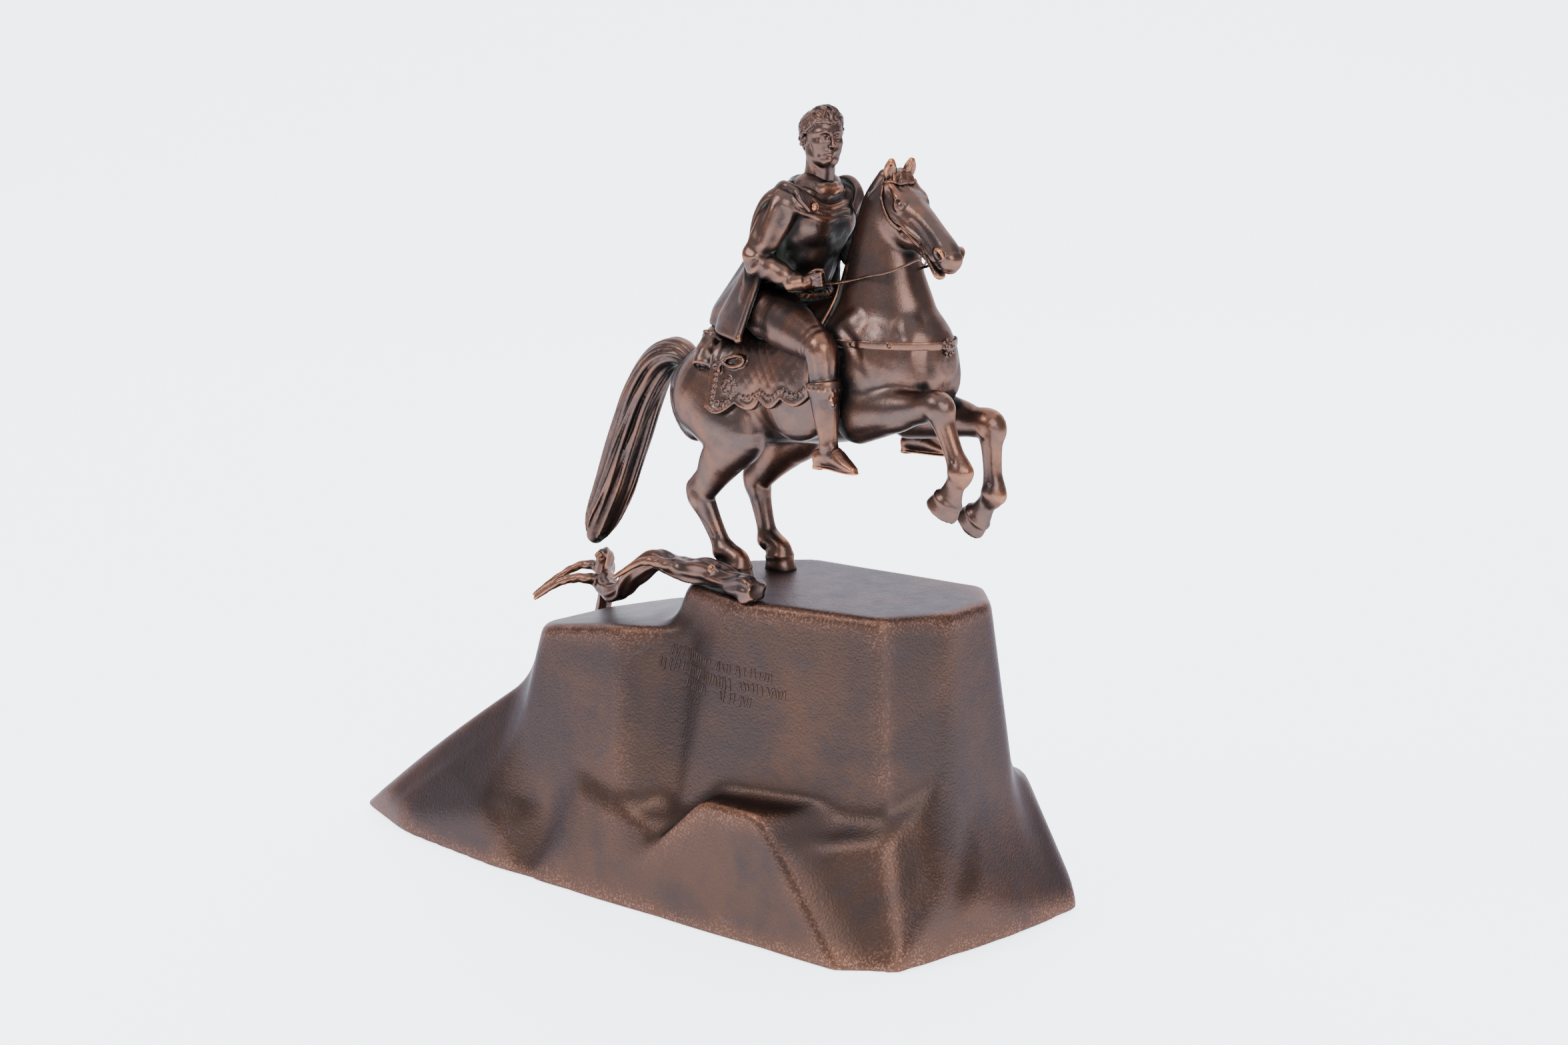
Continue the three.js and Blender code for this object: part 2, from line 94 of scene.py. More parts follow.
skySet = {"colour": (0.93, 0.95, 1.0, 1), "strength": 0.75}
world = bpy.data.worlds.new("studio")
bpy.context.scene.world = world
world.use_nodes = True
sky = world.node_tree.nodes["Background"].inputs
sky["Color"].default_value = skySet["colour"]
sky["Strength"].default_value = skySet["strength"]


# faces is a list of arrays, one for quads and one for triangles.
def newMesh(name, points, faces):
    mesh = bpy.data.meshes.new(name)
    corners = np.concatenate([np.asarray(block).reshape(-1) for block in faces]).astype(np.int32)
    counts = np.concatenate([np.full(len(block), block.shape[1], np.int32) for block in faces])
    mesh.vertices.add(len(points))
    mesh.vertices.foreach_set("co", np.asarray(points, np.float32).reshape(-1))
    mesh.loops.add(len(corners))
    mesh.loops.foreach_set("vertex_index", corners)
    mesh.polygons.add(len(counts))
    mesh.polygons.foreach_set("loop_start", np.concatenate([[0], np.cumsum(counts)[:-1]]).astype(np.int32))
    mesh.polygons.foreach_set("loop_total", counts)
    mesh.update(calc_edges=True)
    mesh.validate()
    mesh.polygons.foreach_set("use_smooth", np.ones(len(mesh.polygons), bool))
    return mesh


# Drawn millimetres of the horse and rider to metres in the frame.
def toWorld(points):
    return np.asarray(points, float) * unit + groupOrigin


def addPiece(name, points, faces, material, slot, place, attributes, normals):
    mesh = newMesh(name, place(points), faces)
    for key, values in attributes.items():
        layer = mesh.attributes.new(key, "FLOAT", "POINT")
        layer.data.foreach_set("value", np.asarray(values, np.float32))
    mesh.normals_split_custom_set_from_vertices(normals.tolist())
    mesh.materials.append(material)
    piece = bpy.data.objects.new(name, mesh)
    bpy.context.scene.collection.objects.link(piece)
    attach(piece, "root")
    return piece


def unitVectors(vectors):
    return vectors / np.maximum(np.linalg.norm(vectors, axis=-1, keepdims=True), 1e-9)


# Rows of numbers on a Catmull-Rom curve through the stations, at each t.
def rowsAt(stations, t):
    rows = np.asarray(stations, float)
    last = len(rows) - 1
    i = np.clip(np.floor(t).astype(int), 0, last - 1)
    f = (t - i)[:, None]
    p0, p1, p2, p3 = (rows[np.clip(i + shift, 0, last)] for shift in (-1, 0, 1, 2))
    return p1 + 0.5 * f * (p2 - p0 + f * (2 * p0 - 5 * p1 + 4 * p2 - p3 + f * (3 * (p1 - p2) + p3 - p0)))


# A closed form with an oval section carried along a path: P(v, a) = C(v) + w(v) cos a S(v) + d(v) sin a U(v),
# where S lies along `across` and U is square to it and to the path. relief(u, v) is added to the radius.
# Returns points and [quads, triangles].
def loft(stations, sides=24, steps=6, across=(0, 1, 0), roundEnds=(True, True), relief=None, square=0.0):
    last = len(stations) - 1
    t = np.linspace(0, last, last * steps + 1)
    rows = rowsAt(stations, t)
    centre, width, depth = rows[:, :3], rows[:, 3], rows[:, 4]
    after, before = rowsAt(stations, np.minimum(t + 0.02, last)), rowsAt(stations, np.maximum(t - 0.02, 0))
    along = unitVectors(after[:, :3] - before[:, :3])
    bend = np.sin(np.linspace(0, math.pi / 2, 6)[1:-1])
    for end, sign in ((0, -1), (-1, 1)):
        if not roundEnds[end]:
            continue
        reach = min(width[end], depth[end]) * bend[:, None]
        size = np.sqrt(1 - bend ** 2)
        order = slice(None, None, sign)
        cap = ((centre[end] + sign * reach * along[end])[order], (width[end] * size)[order],
               (depth[end] * size)[order], np.repeat(along[end][None], len(bend), 0), np.full(len(bend), t[end]))
        centre, width, depth, along, t = (
            np.concatenate([extra, body] if end == 0 else [body, extra])
            for extra, body in zip(cap, (centre, width, depth, along, t)))
    side = np.asarray(across, float) - (along @ np.asarray(across, float))[:, None] * along
    side = unitVectors(side)
    up = np.cross(along, side)
    angle = np.arange(sides) / sides * 2 * math.pi
    c, s = np.cos(angle), np.sin(angle)
    if square:
        stretch = (np.abs(c) ** (2 + square) + np.abs(s) ** (2 + square)) ** (-1 / (2 + square))
        c, s = c * stretch, s * stretch
    extra = 0.0
    if relief is not None:
        u, v = np.meshgrid(angle / (2 * math.pi), t / last)
        extra = relief(u, v)
    w, d = width[:, None] + extra, depth[:, None] + extra
    points = centre[:, None] + (w * c)[..., None] * side[:, None] + (d * s)[..., None] * up[:, None]
    rings = len(centre)
    first = rings * sides
    tips = [centre[0] - along[0] * (min(width[0], depth[0]) * 0.12 if roundEnds[0] else 0),
            centre[-1] + along[-1] * (min(width[-1], depth[-1]) * 0.12 if roundEnds[1] else 0)]
    ring, column = np.meshgrid(np.arange(rings - 1), np.arange(sides), indexing="ij")
    a, b = ring * sides + column, ring * sides + (column + 1) % sides
    quads = np.stack([a, b, b + sides, a + sides], -1).reshape(-1, 4)
    here = np.arange(sides)
    following = (here + 1) % sides
    head = np.stack([np.full(sides, first), following, here], -1)
    tail = np.stack([np.full(sides, first + 1), first - sides + here, first - sides + following], -1)
    return np.concatenate([points.reshape(-1, 3), np.array(tips)]), [quads, np.concatenate([head, tail])]


# A loft along a path, with one half width for all its points or one for each, and half depths if they differ.
def tube(path, widths, depths=None, sides=16, steps=5, across=(0, 1, 0)):
    widths = np.broadcast_to(widths, len(path))
    depths = widths if depths is None else np.broadcast_to(depths, len(path))
    return loft([[*at, w, d] for at, w, d in zip(path, widths, depths)], sides, steps, across)


# The point that lies a share of the way from start to end.
def partWay(start, end, share):
    return np.asarray(start, float) + (np.asarray(end, float) - np.asarray(start, float)) * share


# Stations along a chain of joints: each girth is [place along the chain, half width, half depth].
def limb(joints, girths):
    joints = np.asarray(joints, float)
    stations = []
    for place, width, depth in girths:
        i = min(int(place), len(joints) - 2)
        stations.append([*(joints[i] * (1 - place + i) + joints[i + 1] * (place - i)), width, depth])
    return stations


# Turned about X by roll, then about Y by pitch, then about Z by yaw, in degrees.
def turn(points, pitch=0.0, yaw=0.0, roll=0.0):
    r, p, y = np.radians([roll, pitch, yaw])
    aboutX = np.array([[1, 0, 0], [0, math.cos(r), -math.sin(r)], [0, math.sin(r), math.cos(r)]])
    aboutY = np.array([[math.cos(p), 0, math.sin(p)], [0, 1, 0], [-math.sin(p), 0, math.cos(p)]])
    aboutZ = np.array([[math.cos(y), -math.sin(y), 0], [math.sin(y), math.cos(y), 0], [0, 0, 1]])
    return np.asarray(points, float) @ (aboutZ @ aboutY @ aboutX).T


# An oval lump: a sphere's grid, stretched, turned and moved.
def lump(centre, sizes, pitch=0.0, yaw=0.0, roll=0.0, sides=20, rings=12):
    stations = [[0, 0, -math.cos(a), math.sin(a), math.sin(a)] for a in np.linspace(0.12, math.pi - 0.12, rings)]
    points, faces = loft(stations, sides, 1, roundEnds=(False, False))
    points[-2:] = [[0, 0, -1], [0, 0, 1]]
    return turn(points * np.asarray(sizes, float), pitch, yaw, roll) + np.asarray(centre, float), faces


# The smaller of two distances, rounded off where they are within `blend` of each other.
def meltJoin(a, b, blend):
    if blend <= 0:
        return np.minimum(a, b)
    h = np.clip(0.5 + 0.5 * (b - a) / blend, 0, 1)
    return b + (a - b) * h - blend * h * (1 - h)


# Signed distance on a grid, below 0 inside, in which solids are joined and cut with soft fillets.
class Volume:
    def __init__(self, low, high, cell, band):
        self.cell, self.band = cell, band
        self.start = np.floor(np.asarray(low) / cell).astype(int)
        self.shape = np.ceil(np.asarray(high) / cell).astype(int) - self.start + 1
        self.values = np.full(self.shape, band, np.float32)

    # Distance to a closed surface, over the part of the grid that it can touch.
    def distance(self, form, reach):
        points, faces = form
        grid = openvdb.FloatGrid.createLevelSetFromPolygons(
            np.asarray(points, np.float32), triangles=faces[1].astype(np.uint32), quads=faces[0].astype(np.uint32),
            transform=openvdb.createLinearTransform(voxelSize=self.cell), halfWidth=reach / self.cell + 2)
        low = np.floor((points.min(0) - reach) / self.cell).astype(int) - 1
        high = np.ceil((points.max(0) + reach) / self.cell).astype(int) + 2
        low = np.maximum(low, self.start)
        high = np.minimum(high, self.start + self.shape)
        box = tuple(slice(a, b) for a, b in zip(low - self.start, high - self.start))
        values = np.empty(np.maximum(high - low, 1), np.float32)
        grid.copyToArray(values, ijk=tuple(int(n) for n in low))
        return box, values

    # Joins a solid on, with a fillet as wide as `blend`.
    def add(self, form, blend):
        box, values = self.distance(form, self.band)
        self.values[box] = meltJoin(self.values[box], values, blend)

    # Takes a solid away, with its rim rounded over `blend`.
    def cut(self, form, blend):
        box, values = self.distance(form, self.band)
        self.values[box] = -meltJoin(-self.values[box], values, blend)

    # The distances at points, mixed from the eight grid values round each.
    def sample(self, points, values=None):
        values = self.values if values is None else values
        p = np.asarray(points) / self.cell - self.start
        p = np.clip(p, 0, np.array(self.shape) - 1.001)
        i = p.astype(int)
        f = (p - i).astype(np.float32)
        total = 0.0
        for dx in (0, 1):
            for dy in (0, 1):
                for dz in (0, 1):
                    weight = abs(1 - dx - f[..., 0]) * abs(1 - dy - f[..., 1]) * abs(1 - dz - f[..., 2])
                    total = total + weight * values[i[..., 0] + dx, i[..., 1] + dy, i[..., 2] + dz]
        return total

    # Which points lie off the grid.
    def beyond(self, points):
        p = np.asarray(points) / self.cell - self.start
        return ((p < 0) | (p > np.array(self.shape) - 1)).any(-1)

    # The direction in which the distance grows, square to the surface.
    def slope(self, points):
        return unitVectors(np.stack([
            self.sample(points + shift) - self.sample(points - shift) for shift in np.eye(3) * self.cell], -1))

    # Pulls points onto the surface, plus a height above it.
    def settle(self, points, height=0.0):
        points = np.array(points, float)
        for _ in range(8):
            points = points - (self.sample(points) - height)[..., None] * self.slope(points)
        return points

    # Each value becomes the mean of a box that reaches `radius` to every side.
    def blurred(self, radius):
        cells = max(1, int(round(radius / self.cell)))
        span = 2 * cells + 1
        values = np.clip(self.values, -3 * radius, 3 * radius)
        for axis in range(3):
            padded = np.concatenate([np.repeat(values.take([0], axis), cells + 1, axis), values,
                                     np.repeat(values.take([-1], axis), cells, axis)], axis)
            total = np.cumsum(padded, axis, dtype=np.float32)
            count = values.shape[axis]
            values = (total.take(range(span, span + count), axis) - total.take(range(count), axis)) / span
        return values

    # The mesh where the distance is 0: points and quads.
    def surface(self):
        grid = openvdb.FloatGrid(self.band)
        grid.transform = openvdb.createLinearTransform(voxelSize=self.cell)
        grid.copyFromArray(self.values, ijk=tuple(int(n) for n in self.start))
        points, quads = grid.convertToQuads(isovalue=0.0)
        return points.astype(float), quads.astype(np.int64)

    # Another volume's distances on this grid, whose coordinates are this one's times `scale` plus `shift`.
    def fetch(self, other, scale=1.0, shift=(0, 0, 0)):
        values = other.values
        beyond = 0
        for axis in range(3):
            here = (np.arange(self.shape[axis]) + self.start[axis]) * self.cell * scale + shift[axis]
            at = here / other.cell - other.start[axis]
            shape = [-1 if n == axis else 1 for n in range(3)]
            beyond = beyond | ((at < 0) | (at > other.shape[axis] - 1)).reshape(shape)
            at = np.clip(at, 0, other.shape[axis] - 1.001)
            i = at.astype(int)
            f = (at - i).astype(np.float32).reshape(shape)
            values = values.take(i, axis) * (1 - f) + values.take(i + 1, axis) * f
        return np.where(beyond, np.float32(other.band), values)

    # edge and wide: how strongly the surface is raised or hollow over a fine and a coarse radius, per millimetre.
    # shade: how much of the space just off the surface is filled by the whole statuette, 0 in the open, plus dim and
    # more on faces that look down. The finish paints it as shade. worn scales the raised edges that come out rubbed,
    # dim adds painted shade, and faces that lie deep in a form of `cover` are dropped.
    def piece(self, name, material, slot, place=toWorld, figure=lambda points: points, keep=None, cover=(), worn=1.0,
              dim=0.0, fine=0.8, coarse=2.6):
        points, quads = self.surface()
        shown = np.ones(len(points), bool) if keep is None else keep(points)
        for other in cover:
            shown &= (other.sample(points) > -skin["buried"]) | other.beyond(points)
        if not shown.all():
            quads = quads[shown[quads].any(1)]
            used = np.unique(quads)
            lookup = np.zeros(len(points), np.int64)
            lookup[used] = np.arange(len(used))
            points, quads = points[used], lookup[quads]
        attributes = {}
        rub, gloom = (setting(points) if callable(setting) else setting for setting in (worn, dim))
        for key, radius in (("edge", fine), ("wide", coarse)):
            reach = max(1, round(radius / self.cell)) * self.cell
            attributes[key] = self.sample(points, self.blurred(reach)) * rub / reach ** 2
        normals = self.slope(points)
        around = statuette.sample(figure(points) + normals * skin["reach"])
        # painted shade: occlusion by the statuette, plus dim, plus a darkening of faces that look down
        attributes["shade"] = around + gloom + skin["underside"] * np.clip(-normals[:, 2], 0, 1)
        made = addPiece(name, points, [quads], material, slot, place, attributes, normals)
        report(f"{name}, {len(quads)} faces")
        return made


# How deep a face is buried before it is dropped and how far off the surface the shade is read, in mm, and how much
# painted shade darkens a face that looks straight down.
skin = {"buried": 1.1, "reach": 5.5, "underside": 0.22}


# A number that varies over a surface: sums on it add Math nodes.
class Value:
    def __init__(self, tree, socket):
        self.tree, self.socket = tree, socket

    def math(self, operation, other):
        node = self.tree.nodes.new("ShaderNodeMath")
        node.operation = operation
        for i, item in enumerate((self, other)):
            if isinstance(item, Value):
                self.tree.links.new(item.socket, node.inputs[i])
            else:
                node.inputs[i].default_value = item
        return Value(self.tree, node.outputs[0])

    def __add__(self, other):
        return self.math("ADD", other)

    def __sub__(self, other):
        return self.math("SUBTRACT", other)

    def __mul__(self, other):
        return self.math("MULTIPLY", other)

    __radd__ = __add__
    __rmul__ = __mul__

    def __rsub__(self, other):
        return self * -1 + other

    # 0 below low, 1 above high, smooth between.
    def between(self, low, high):
        node = self.tree.nodes.new("ShaderNodeMapRange")
        node.interpolation_type = "SMOOTHSTEP"
        node.inputs["From Min"].default_value = low
        node.inputs["From Max"].default_value = high
        self.tree.links.new(self.socket, node.inputs["Value"])
        return Value(self.tree, node.outputs["Result"])


# A material with a Principled shader, whose other nodes all come from node().
class Finish:
    def __init__(self, name):
        self.material = bpy.data.materials.new(name)
        self.material.use_nodes = True
        self.tree = self.material.node_tree
        self.shader = self.tree.nodes["Principled BSDF"]
        self.place = self.node("ShaderNodeTexCoord").outputs["Object"]

    def node(self, kind, links=None, **settings):
        made = self.tree.nodes.new(kind)
        for key, item in settings.items():
            setattr(made, key, item)
        for key, item in (links or {}).items():
            if isinstance(item, Value):
                self.tree.links.new(item.socket, made.inputs[key])
            elif hasattr(item, "is_output"):
                self.tree.links.new(item, made.inputs[key])
            else:
                made.inputs[key].default_value = item
        return made

    def attribute(self, name):
        return Value(self.tree, self.node("ShaderNodeAttribute", attribute_name=name).outputs["Fac"])

    # Noise with lumps about `size` metres across.
    def noise(self, size, detail=3.0, rough=0.55, warp=0.0, seed=0.0):
        place = self.place
        if seed:
            place = self.node("ShaderNodeMapping", {"Vector": place, "Location": (seed, seed * 0.7, -seed)}).outputs[0]
        made = self.node("ShaderNodeTexNoise", {
            "Vector": place, "Scale": 1 / size, "Detail": detail, "Roughness": rough, "Distortion": warp})
        return Value(self.tree, made.outputs["Fac"])

    def height(self):
        return Value(self.tree, self.node("ShaderNodeSeparateXYZ", {"Vector": self.place}).outputs["Z"])

    # Colour low where share is 0 and high where it is 1.
    def blend(self, share, low, high):
        made = self.node("ShaderNodeMix", data_type="RGBA")
        for key, item in (("Factor", share), ("A", low), ("B", high)):
            socket = next(s for s in made.inputs if s.name == key and s.enabled)
            if isinstance(item, Value):
                self.tree.links.new(item.socket, socket)
            else:
                socket.default_value = (*item, 1)
        return Value(self.tree, next(s for s in made.outputs if s.enabled))

    def set(self, **inputs):
        for key, item in inputs.items():
            name = key.replace("_", " ")
            if isinstance(item, Value):
                self.tree.links.new(item.socket, self.shader.inputs[name])
            else:
                self.shader.inputs[name].default_value = item

    def bump(self, height, distance, strength):
        made = self.node("ShaderNodeBump", {"Height": height, "Distance": distance, "Strength": strength})
        self.tree.links.new(made.outputs["Normal"], self.shader.inputs["Normal"])


report("start")


# Browned copper: dark brown where it is flat, warmer on rounded forms, bare on keen edges, with grey-green verdigris in
# some hollows. Painted shade turns it nearly black where the shade attribute is high: in hollows, between parts, on
# faces that look down and on the pieces given extra shade.
def bronzeFinish(name, look):
    finish = Finish(name)
    edge, wide, shade = (finish.attribute(key) for key in ("edge", "wide", "shade"))
    edge, wide = edge * look["keen"], wide * look["keen"]
    patches = finish.noise(look["patch"], 3, 0.6, 0.6)
    mottle = finish.noise(look["patch"] * 0.16, 4, 0.62, 0.3, seed=3.1)
    grain = finish.noise(look["grain"], 2, 0.5, seed=7.7)
    warmth = (wide + (patches - 0.5) * 0.12 + (mottle - 0.5) * 0.1 - shade * 0.1).between(*look["warmFrom"])
    rubbed = edge + wide * 1.3 + (mottle - 0.5) * 0.4 + (patches - 0.5) * 0.3 - shade * 0.5
    rubbed = rubbed.between(*look["bareFrom"])
    if look["foot"]:
        rubbed = rubbed * finish.height().between(*look["foot"])
    sparkle = grain.between(0.5, 0.64) * warmth * look["sparkle"]
    # painted shade: the share of the near-black colour, taken from the shade attribute and from concave forms
    hollow = (shade + wide * -1.6 + (mottle - 0.5) * 0.14).between(*look["hollow"])
    green = (shade * 1.1 - edge * 0.3 + (patches - 0.5) * 0.9 + (mottle - 0.5) * 0.5).between(*look["green"])
    green = green * look["greenShare"]
    brown = finish.blend(patches.between(0.36, 0.66), look["brown"], look["redBrown"])
    brown = finish.blend(mottle.between(0.48, 0.75) * 0.6, brown, look["dusk"])
    colour = finish.blend(warmth * 0.7, brown, look["warm"])
    colour = finish.blend(sparkle, colour, look["bright"])
    colour = finish.blend(rubbed * look["bareShare"], colour, look["copper"])
    # the painted shade, laid over the metal's colours
    colour = finish.blend(hollow * look["shadeShare"], colour, look["shadeBlack"])
    colour = finish.blend(green, colour, look["verdigris"])
    rough = look["rough"] + (mottle - 0.5) * 0.16 + (grain - 0.5) * 0.12 - rubbed * 0.07 + green * 0.3 + hollow * 0.16
    finish.set(Base_Color=colour, Metallic=0.94 - green * 0.8 - hollow * 0.15, Specular_Tint=(*look["glance"], 1),
               Coat_Weight=look["wax"] * (1 - hollow), Coat_Roughness=0.42, Roughness=rough)
    coarseGrain = finish.noise(look["grain"] * 3.1, 3, 0.6, seed=1.3)
    finish.bump(grain * look["grainHeight"] + mottle * 0.6 + coarseGrain * 0.45, look["bump"], look["bumpStrength"])
    return finish.material


# Sizes in metres. The pairs are where a share starts and where it is full. warm, bright and copper are the metal from
# rounded to bare, and dusk is the brown in patches. The near-black colour, with its hollow pair and its share, is
# painted shade in hollows and under forms. glance tints the sheen seen at a slant.
figureLook = {
    "patch": 0.018, "grain": 0.0006, "grainHeight": 0.5, "bump": 0.00013, "bumpStrength": 0.6, "rough": 0.31,
    "brown": (0.064, 0.043, 0.039), "redBrown": (0.1, 0.052, 0.039), "dusk": (0.042, 0.035, 0.038),
    "warm": (0.2, 0.082, 0.046), "bright": (0.32, 0.17, 0.125), "copper": (0.54, 0.2, 0.095),
    "shadeBlack": (0.007, 0.006, 0.006), "verdigris": (0.1, 0.12, 0.1), "glance": (0.42, 0.42, 0.43), "keen": 1.0,
    "warmFrom": (0.02, 0.11), "bareFrom": (0.25, 0.75), "bareShare": 0.7, "sparkle": 0.2, "hollow": (0.12, 0.38),
    "shadeShare": 0.95, "green": (0.5, 0.8), "greenShare": 0.6, "foot": None, "wax": 0.08}
plinthLook = {
    **figureLook, "patch": 0.05, "grain": 0.0008, "grainHeight": 1.0, "bump": 0.00022, "bumpStrength": 0.7,
    "rough": 0.42, "brown": (0.039, 0.0275, 0.0255), "redBrown": (0.056, 0.033, 0.0255),
    "dusk": (0.033, 0.0275, 0.031), "warm": (0.086, 0.042, 0.028), "keen": 3.2, "warmFrom": (0.0, 0.14),
    "bareFrom": (0.28, 0.85), "bareShare": 0.45, "sparkle": 0.36, "hollow": (0.3, 0.8), "green": (0.6, 1.0),
    "greenShare": 0.45, "glance": (0.5, 0.5, 0.53), "foot": (0.001, 0.007), "wax": 0.0}
figureBronze = bronzeFinish("figure_bronze", figureLook)
plinthBronze = bronzeFinish("plinth_bronze", plinthLook)

# The plinth is cut blocks grown together, with soft edges. Each block is [middle, height, faces], and a face is
# [direction it looks, reach, lean], as degrees, mm from the block's middle at the foot, degrees.
rockShape = {"cell": 1.45, "edge": 3.2, "crease": 6.0, "footEdge": 1.6, "length": 300, "width": 117, "blocks": [
    [(62, 0), rockTop, [(6, 80, 4), (-30, 79, 6), (-80, 47, 4), (-108, 54, 9), (-150, 84, 22), (176, 104, 28),
                        (138, 84, 20), (92, 47, 5), (44, 80, 8)]],
    [(-4, -4), 99, [(0, 90, 5), (-58, 60, 8), (-98, 46, 5), (-138, 64, 14), (-172, 74, 22), (176, 541, 80),
                    (146, 74, 20), (92, 50, 8)]],
    [(-56, -6), 82, [(0, 70, 5), (-72, 50, 17), (-104, 50, 24), (-150, 86, 49), (178, 94, 57), (152, 84, 50),
                     (118, 66, 38), (90, 50, 22)]],
    [(100, -18), 64, [(12, 52, 17), (-24, 54, 20), (-68, 43, 16), (-104, 44, 14), (-146, 62, 36), (-84, 96, 60),
                      (168, 90, 44), (90, 74, 20)]],
    [(100, 24), 47, [(8, 52, 25), (-34, 70, 34), (50, 54, 22), (96, 36, 10), (132, 60, 34), (180, 90, 50)]],
    [(24, -16), 52, [(-62, 46, 12), (-94, 41, 9), (-124, 56, 24), (-80, 100, 62), (-166, 110, 55), (10, 80, 34),
                     (90, 60, 10)]],
    [(-44, -20), 36, [(-70, 34, 14), (-106, 34, 20), (-90, 66, 62), (-158, 70, 44), (30, 70, 38), (90, 60, 10)]],
    [(0, 20), 40, [(80, 38, 10), (106, 38, 14), (90, 88, 64), (150, 92, 46), (20, 120, 44), (-90, 60, 10),
                   (180, 120, 56)]],
], "outline": [
    (-0.5, -0.2), (-0.34, -0.37), (-0.1, -0.46), (0.2, -0.48), (0.45, -0.5), (0.485, -0.44), (0.5, 0.1),
    (0.49, 0.44), (0.46, 0.5), (0.1, 0.48), (-0.22, 0.4), (-0.42, 0.16), (-0.5, -0.06)]}


# A block's distance is the greatest over its top and faces, the rock's the least over its blocks, cut to the
# foot's outline and to the floor, each with a soft edge.
def buildPlinth():
    cell, edge = rockShape["cell"], rockShape["edge"]
    outline = np.array(rockShape["outline"]) * [rockShape["length"], rockShape["width"]]
    rock = Volume((-154, -62, -4), (154, 62, rockTop + 4), cell, 8.0)
    x, y, z = (((np.arange(n) + s) * cell).astype(np.float32) for n, s in zip(rock.shape, rock.start))
    x, y, z = x[:, None, None], y[None, :, None], z[None, None, :]

    def within(a, b, blend):
        return -meltJoin(-a, -b, blend)

    whole = None
    for middle, top, faces in rockShape["blocks"]:
        solid = np.broadcast_to(z - top, rock.shape)
        for direction, reach, lean in faces:
            d, slant = math.radians(direction), math.radians(lean)
            across = (x - middle[0]) * math.cos(d) + (y - middle[1]) * math.sin(d) - reach
            solid = within(solid, across * math.cos(slant) + z * math.sin(slant), edge)
        whole = solid if whole is None else meltJoin(whole, solid, rockShape["crease"])
    for (ax, ay), (bx, by) in zip(outline, np.roll(outline, -1, 0)):
        length = math.hypot(bx - ax, by - ay)
        whole = within(whole, ((x - ax) * (by - ay) - (y - ay) * (bx - ax)) / length, edge * 0.7)
    whole = within(whole, np.broadcast_to(-z, rock.shape), rockShape["footEdge"])
    rock.values = np.clip(whole, -rock.band, rock.band).astype(np.float32)
    return rock


rock = buildPlinth()
report("rock")


# The horse: stations are [x, y, z, half width, half depth], and joints run from shoulder or hip to the sole.
horseShape = {"cell": 0.68, "headCell": 0.36, "headAt": (63, 0, 140.5), "headPitch": 30, "headYaw": -16,
              "headScale": 0.955, "forelockLocks": 13}
trunkStations = [
    [-22, 0, 65, 14, 15], [-14, 0, 65.5, 19.5, 18.5], [0, 0, 67.5, 20.5, 20], [15, 0, 70.5, 19.5, 21.5],
    [31, 0, 74, 21, 23.5], [48, 0, 78, 20.5, 24], [62, 0, 81.5, 18.5, 22], [72, 0, 82.5, 15, 17.5]]
neckStations = [
    [60, 0, 79, 15, 25], [60, 0, 90, 14.5, 22.5], [59.5, 0, 101, 12.8, 18.8], [59, 0, 112, 10.6, 14.8],
    [59, 0, 123, 8.8, 11.9], [61, 0, 134, 7, 9.8]]
foreGirths = [
    [0, 8.6, 10.5], [0.4, 7.4, 8], [0.75, 5, 5.4], [1, 5.2, 5.4], [1.3, 3.5, 3.9], [1.7, 3.1, 3.4], [2, 4, 4.5],
    [2.5, 3.2, 3.5], [3, 4.2, 4.6]]
foreJoints = [
    [[58, -12.5, 65], [94, -14, 71], [103.5, -14, 50], [99, -14, 41], [95.5, -14, 36]],
    [[60, 12.5, 64], [94, 14, 61.5], [95.5, 14, 38.5], [89.5, 14, 30.5], [85, 14, 26.5]]]
hindGirths = [
    [0, 11, 14.5], [0.6, 10.5, 13.5], [1, 9, 11.5], [1.35, 7.4, 8.8], [1.75, 4.6, 6.2], [2, 4.2, 5.8], [2.3, 3.4, 4.2],
    [2.75, 3.1, 3.5], [3, 3.9, 4.4], [3.5, 3.3, 3.5], [4, 4.4, 4.8]]
hindJoints = [
    [[-14, -11, 64], [4, -14, 53], [-15, -13.5, 29], [-4, -13, 9.5], [1.5, -13, 5], [3, -13, -2]],
    [[-12, 11, 64], [8, 14, 52], [-12, 13, 31], [-6, 12.5, 10], [-1.5, 12.5, 5], [0, 12.5, -2]]]


# A hoof from its top to its sole, widening downwards.
def hoof(top, sole):
    return loft([[*partWay(top, sole, -0.1), 4.1, 4.6], [*partWay(top, sole, 0.12), 4.5, 5.1],
                 [*partWay(top, sole, 0.9), 5.2, 6.3], [*partWay(top, sole, 1), 4.5, 5.6]], 40, 6,
                roundEnds=(False, False))


# The swollen rim where the hair ends above a hoof.
def coronet(top, sole):
    return loft([[*partWay(top, sole, -0.02), 4.3, 4.8], [*partWay(top, sole, 0.14), 5.1, 5.7],
                 [*partWay(top, sole, 0.26), 4.5, 5.1]], 36, 6, roundEnds=(False, False))


def neckForm():
    return loft(neckStations, 88, 12, roundEnds=(False, True))


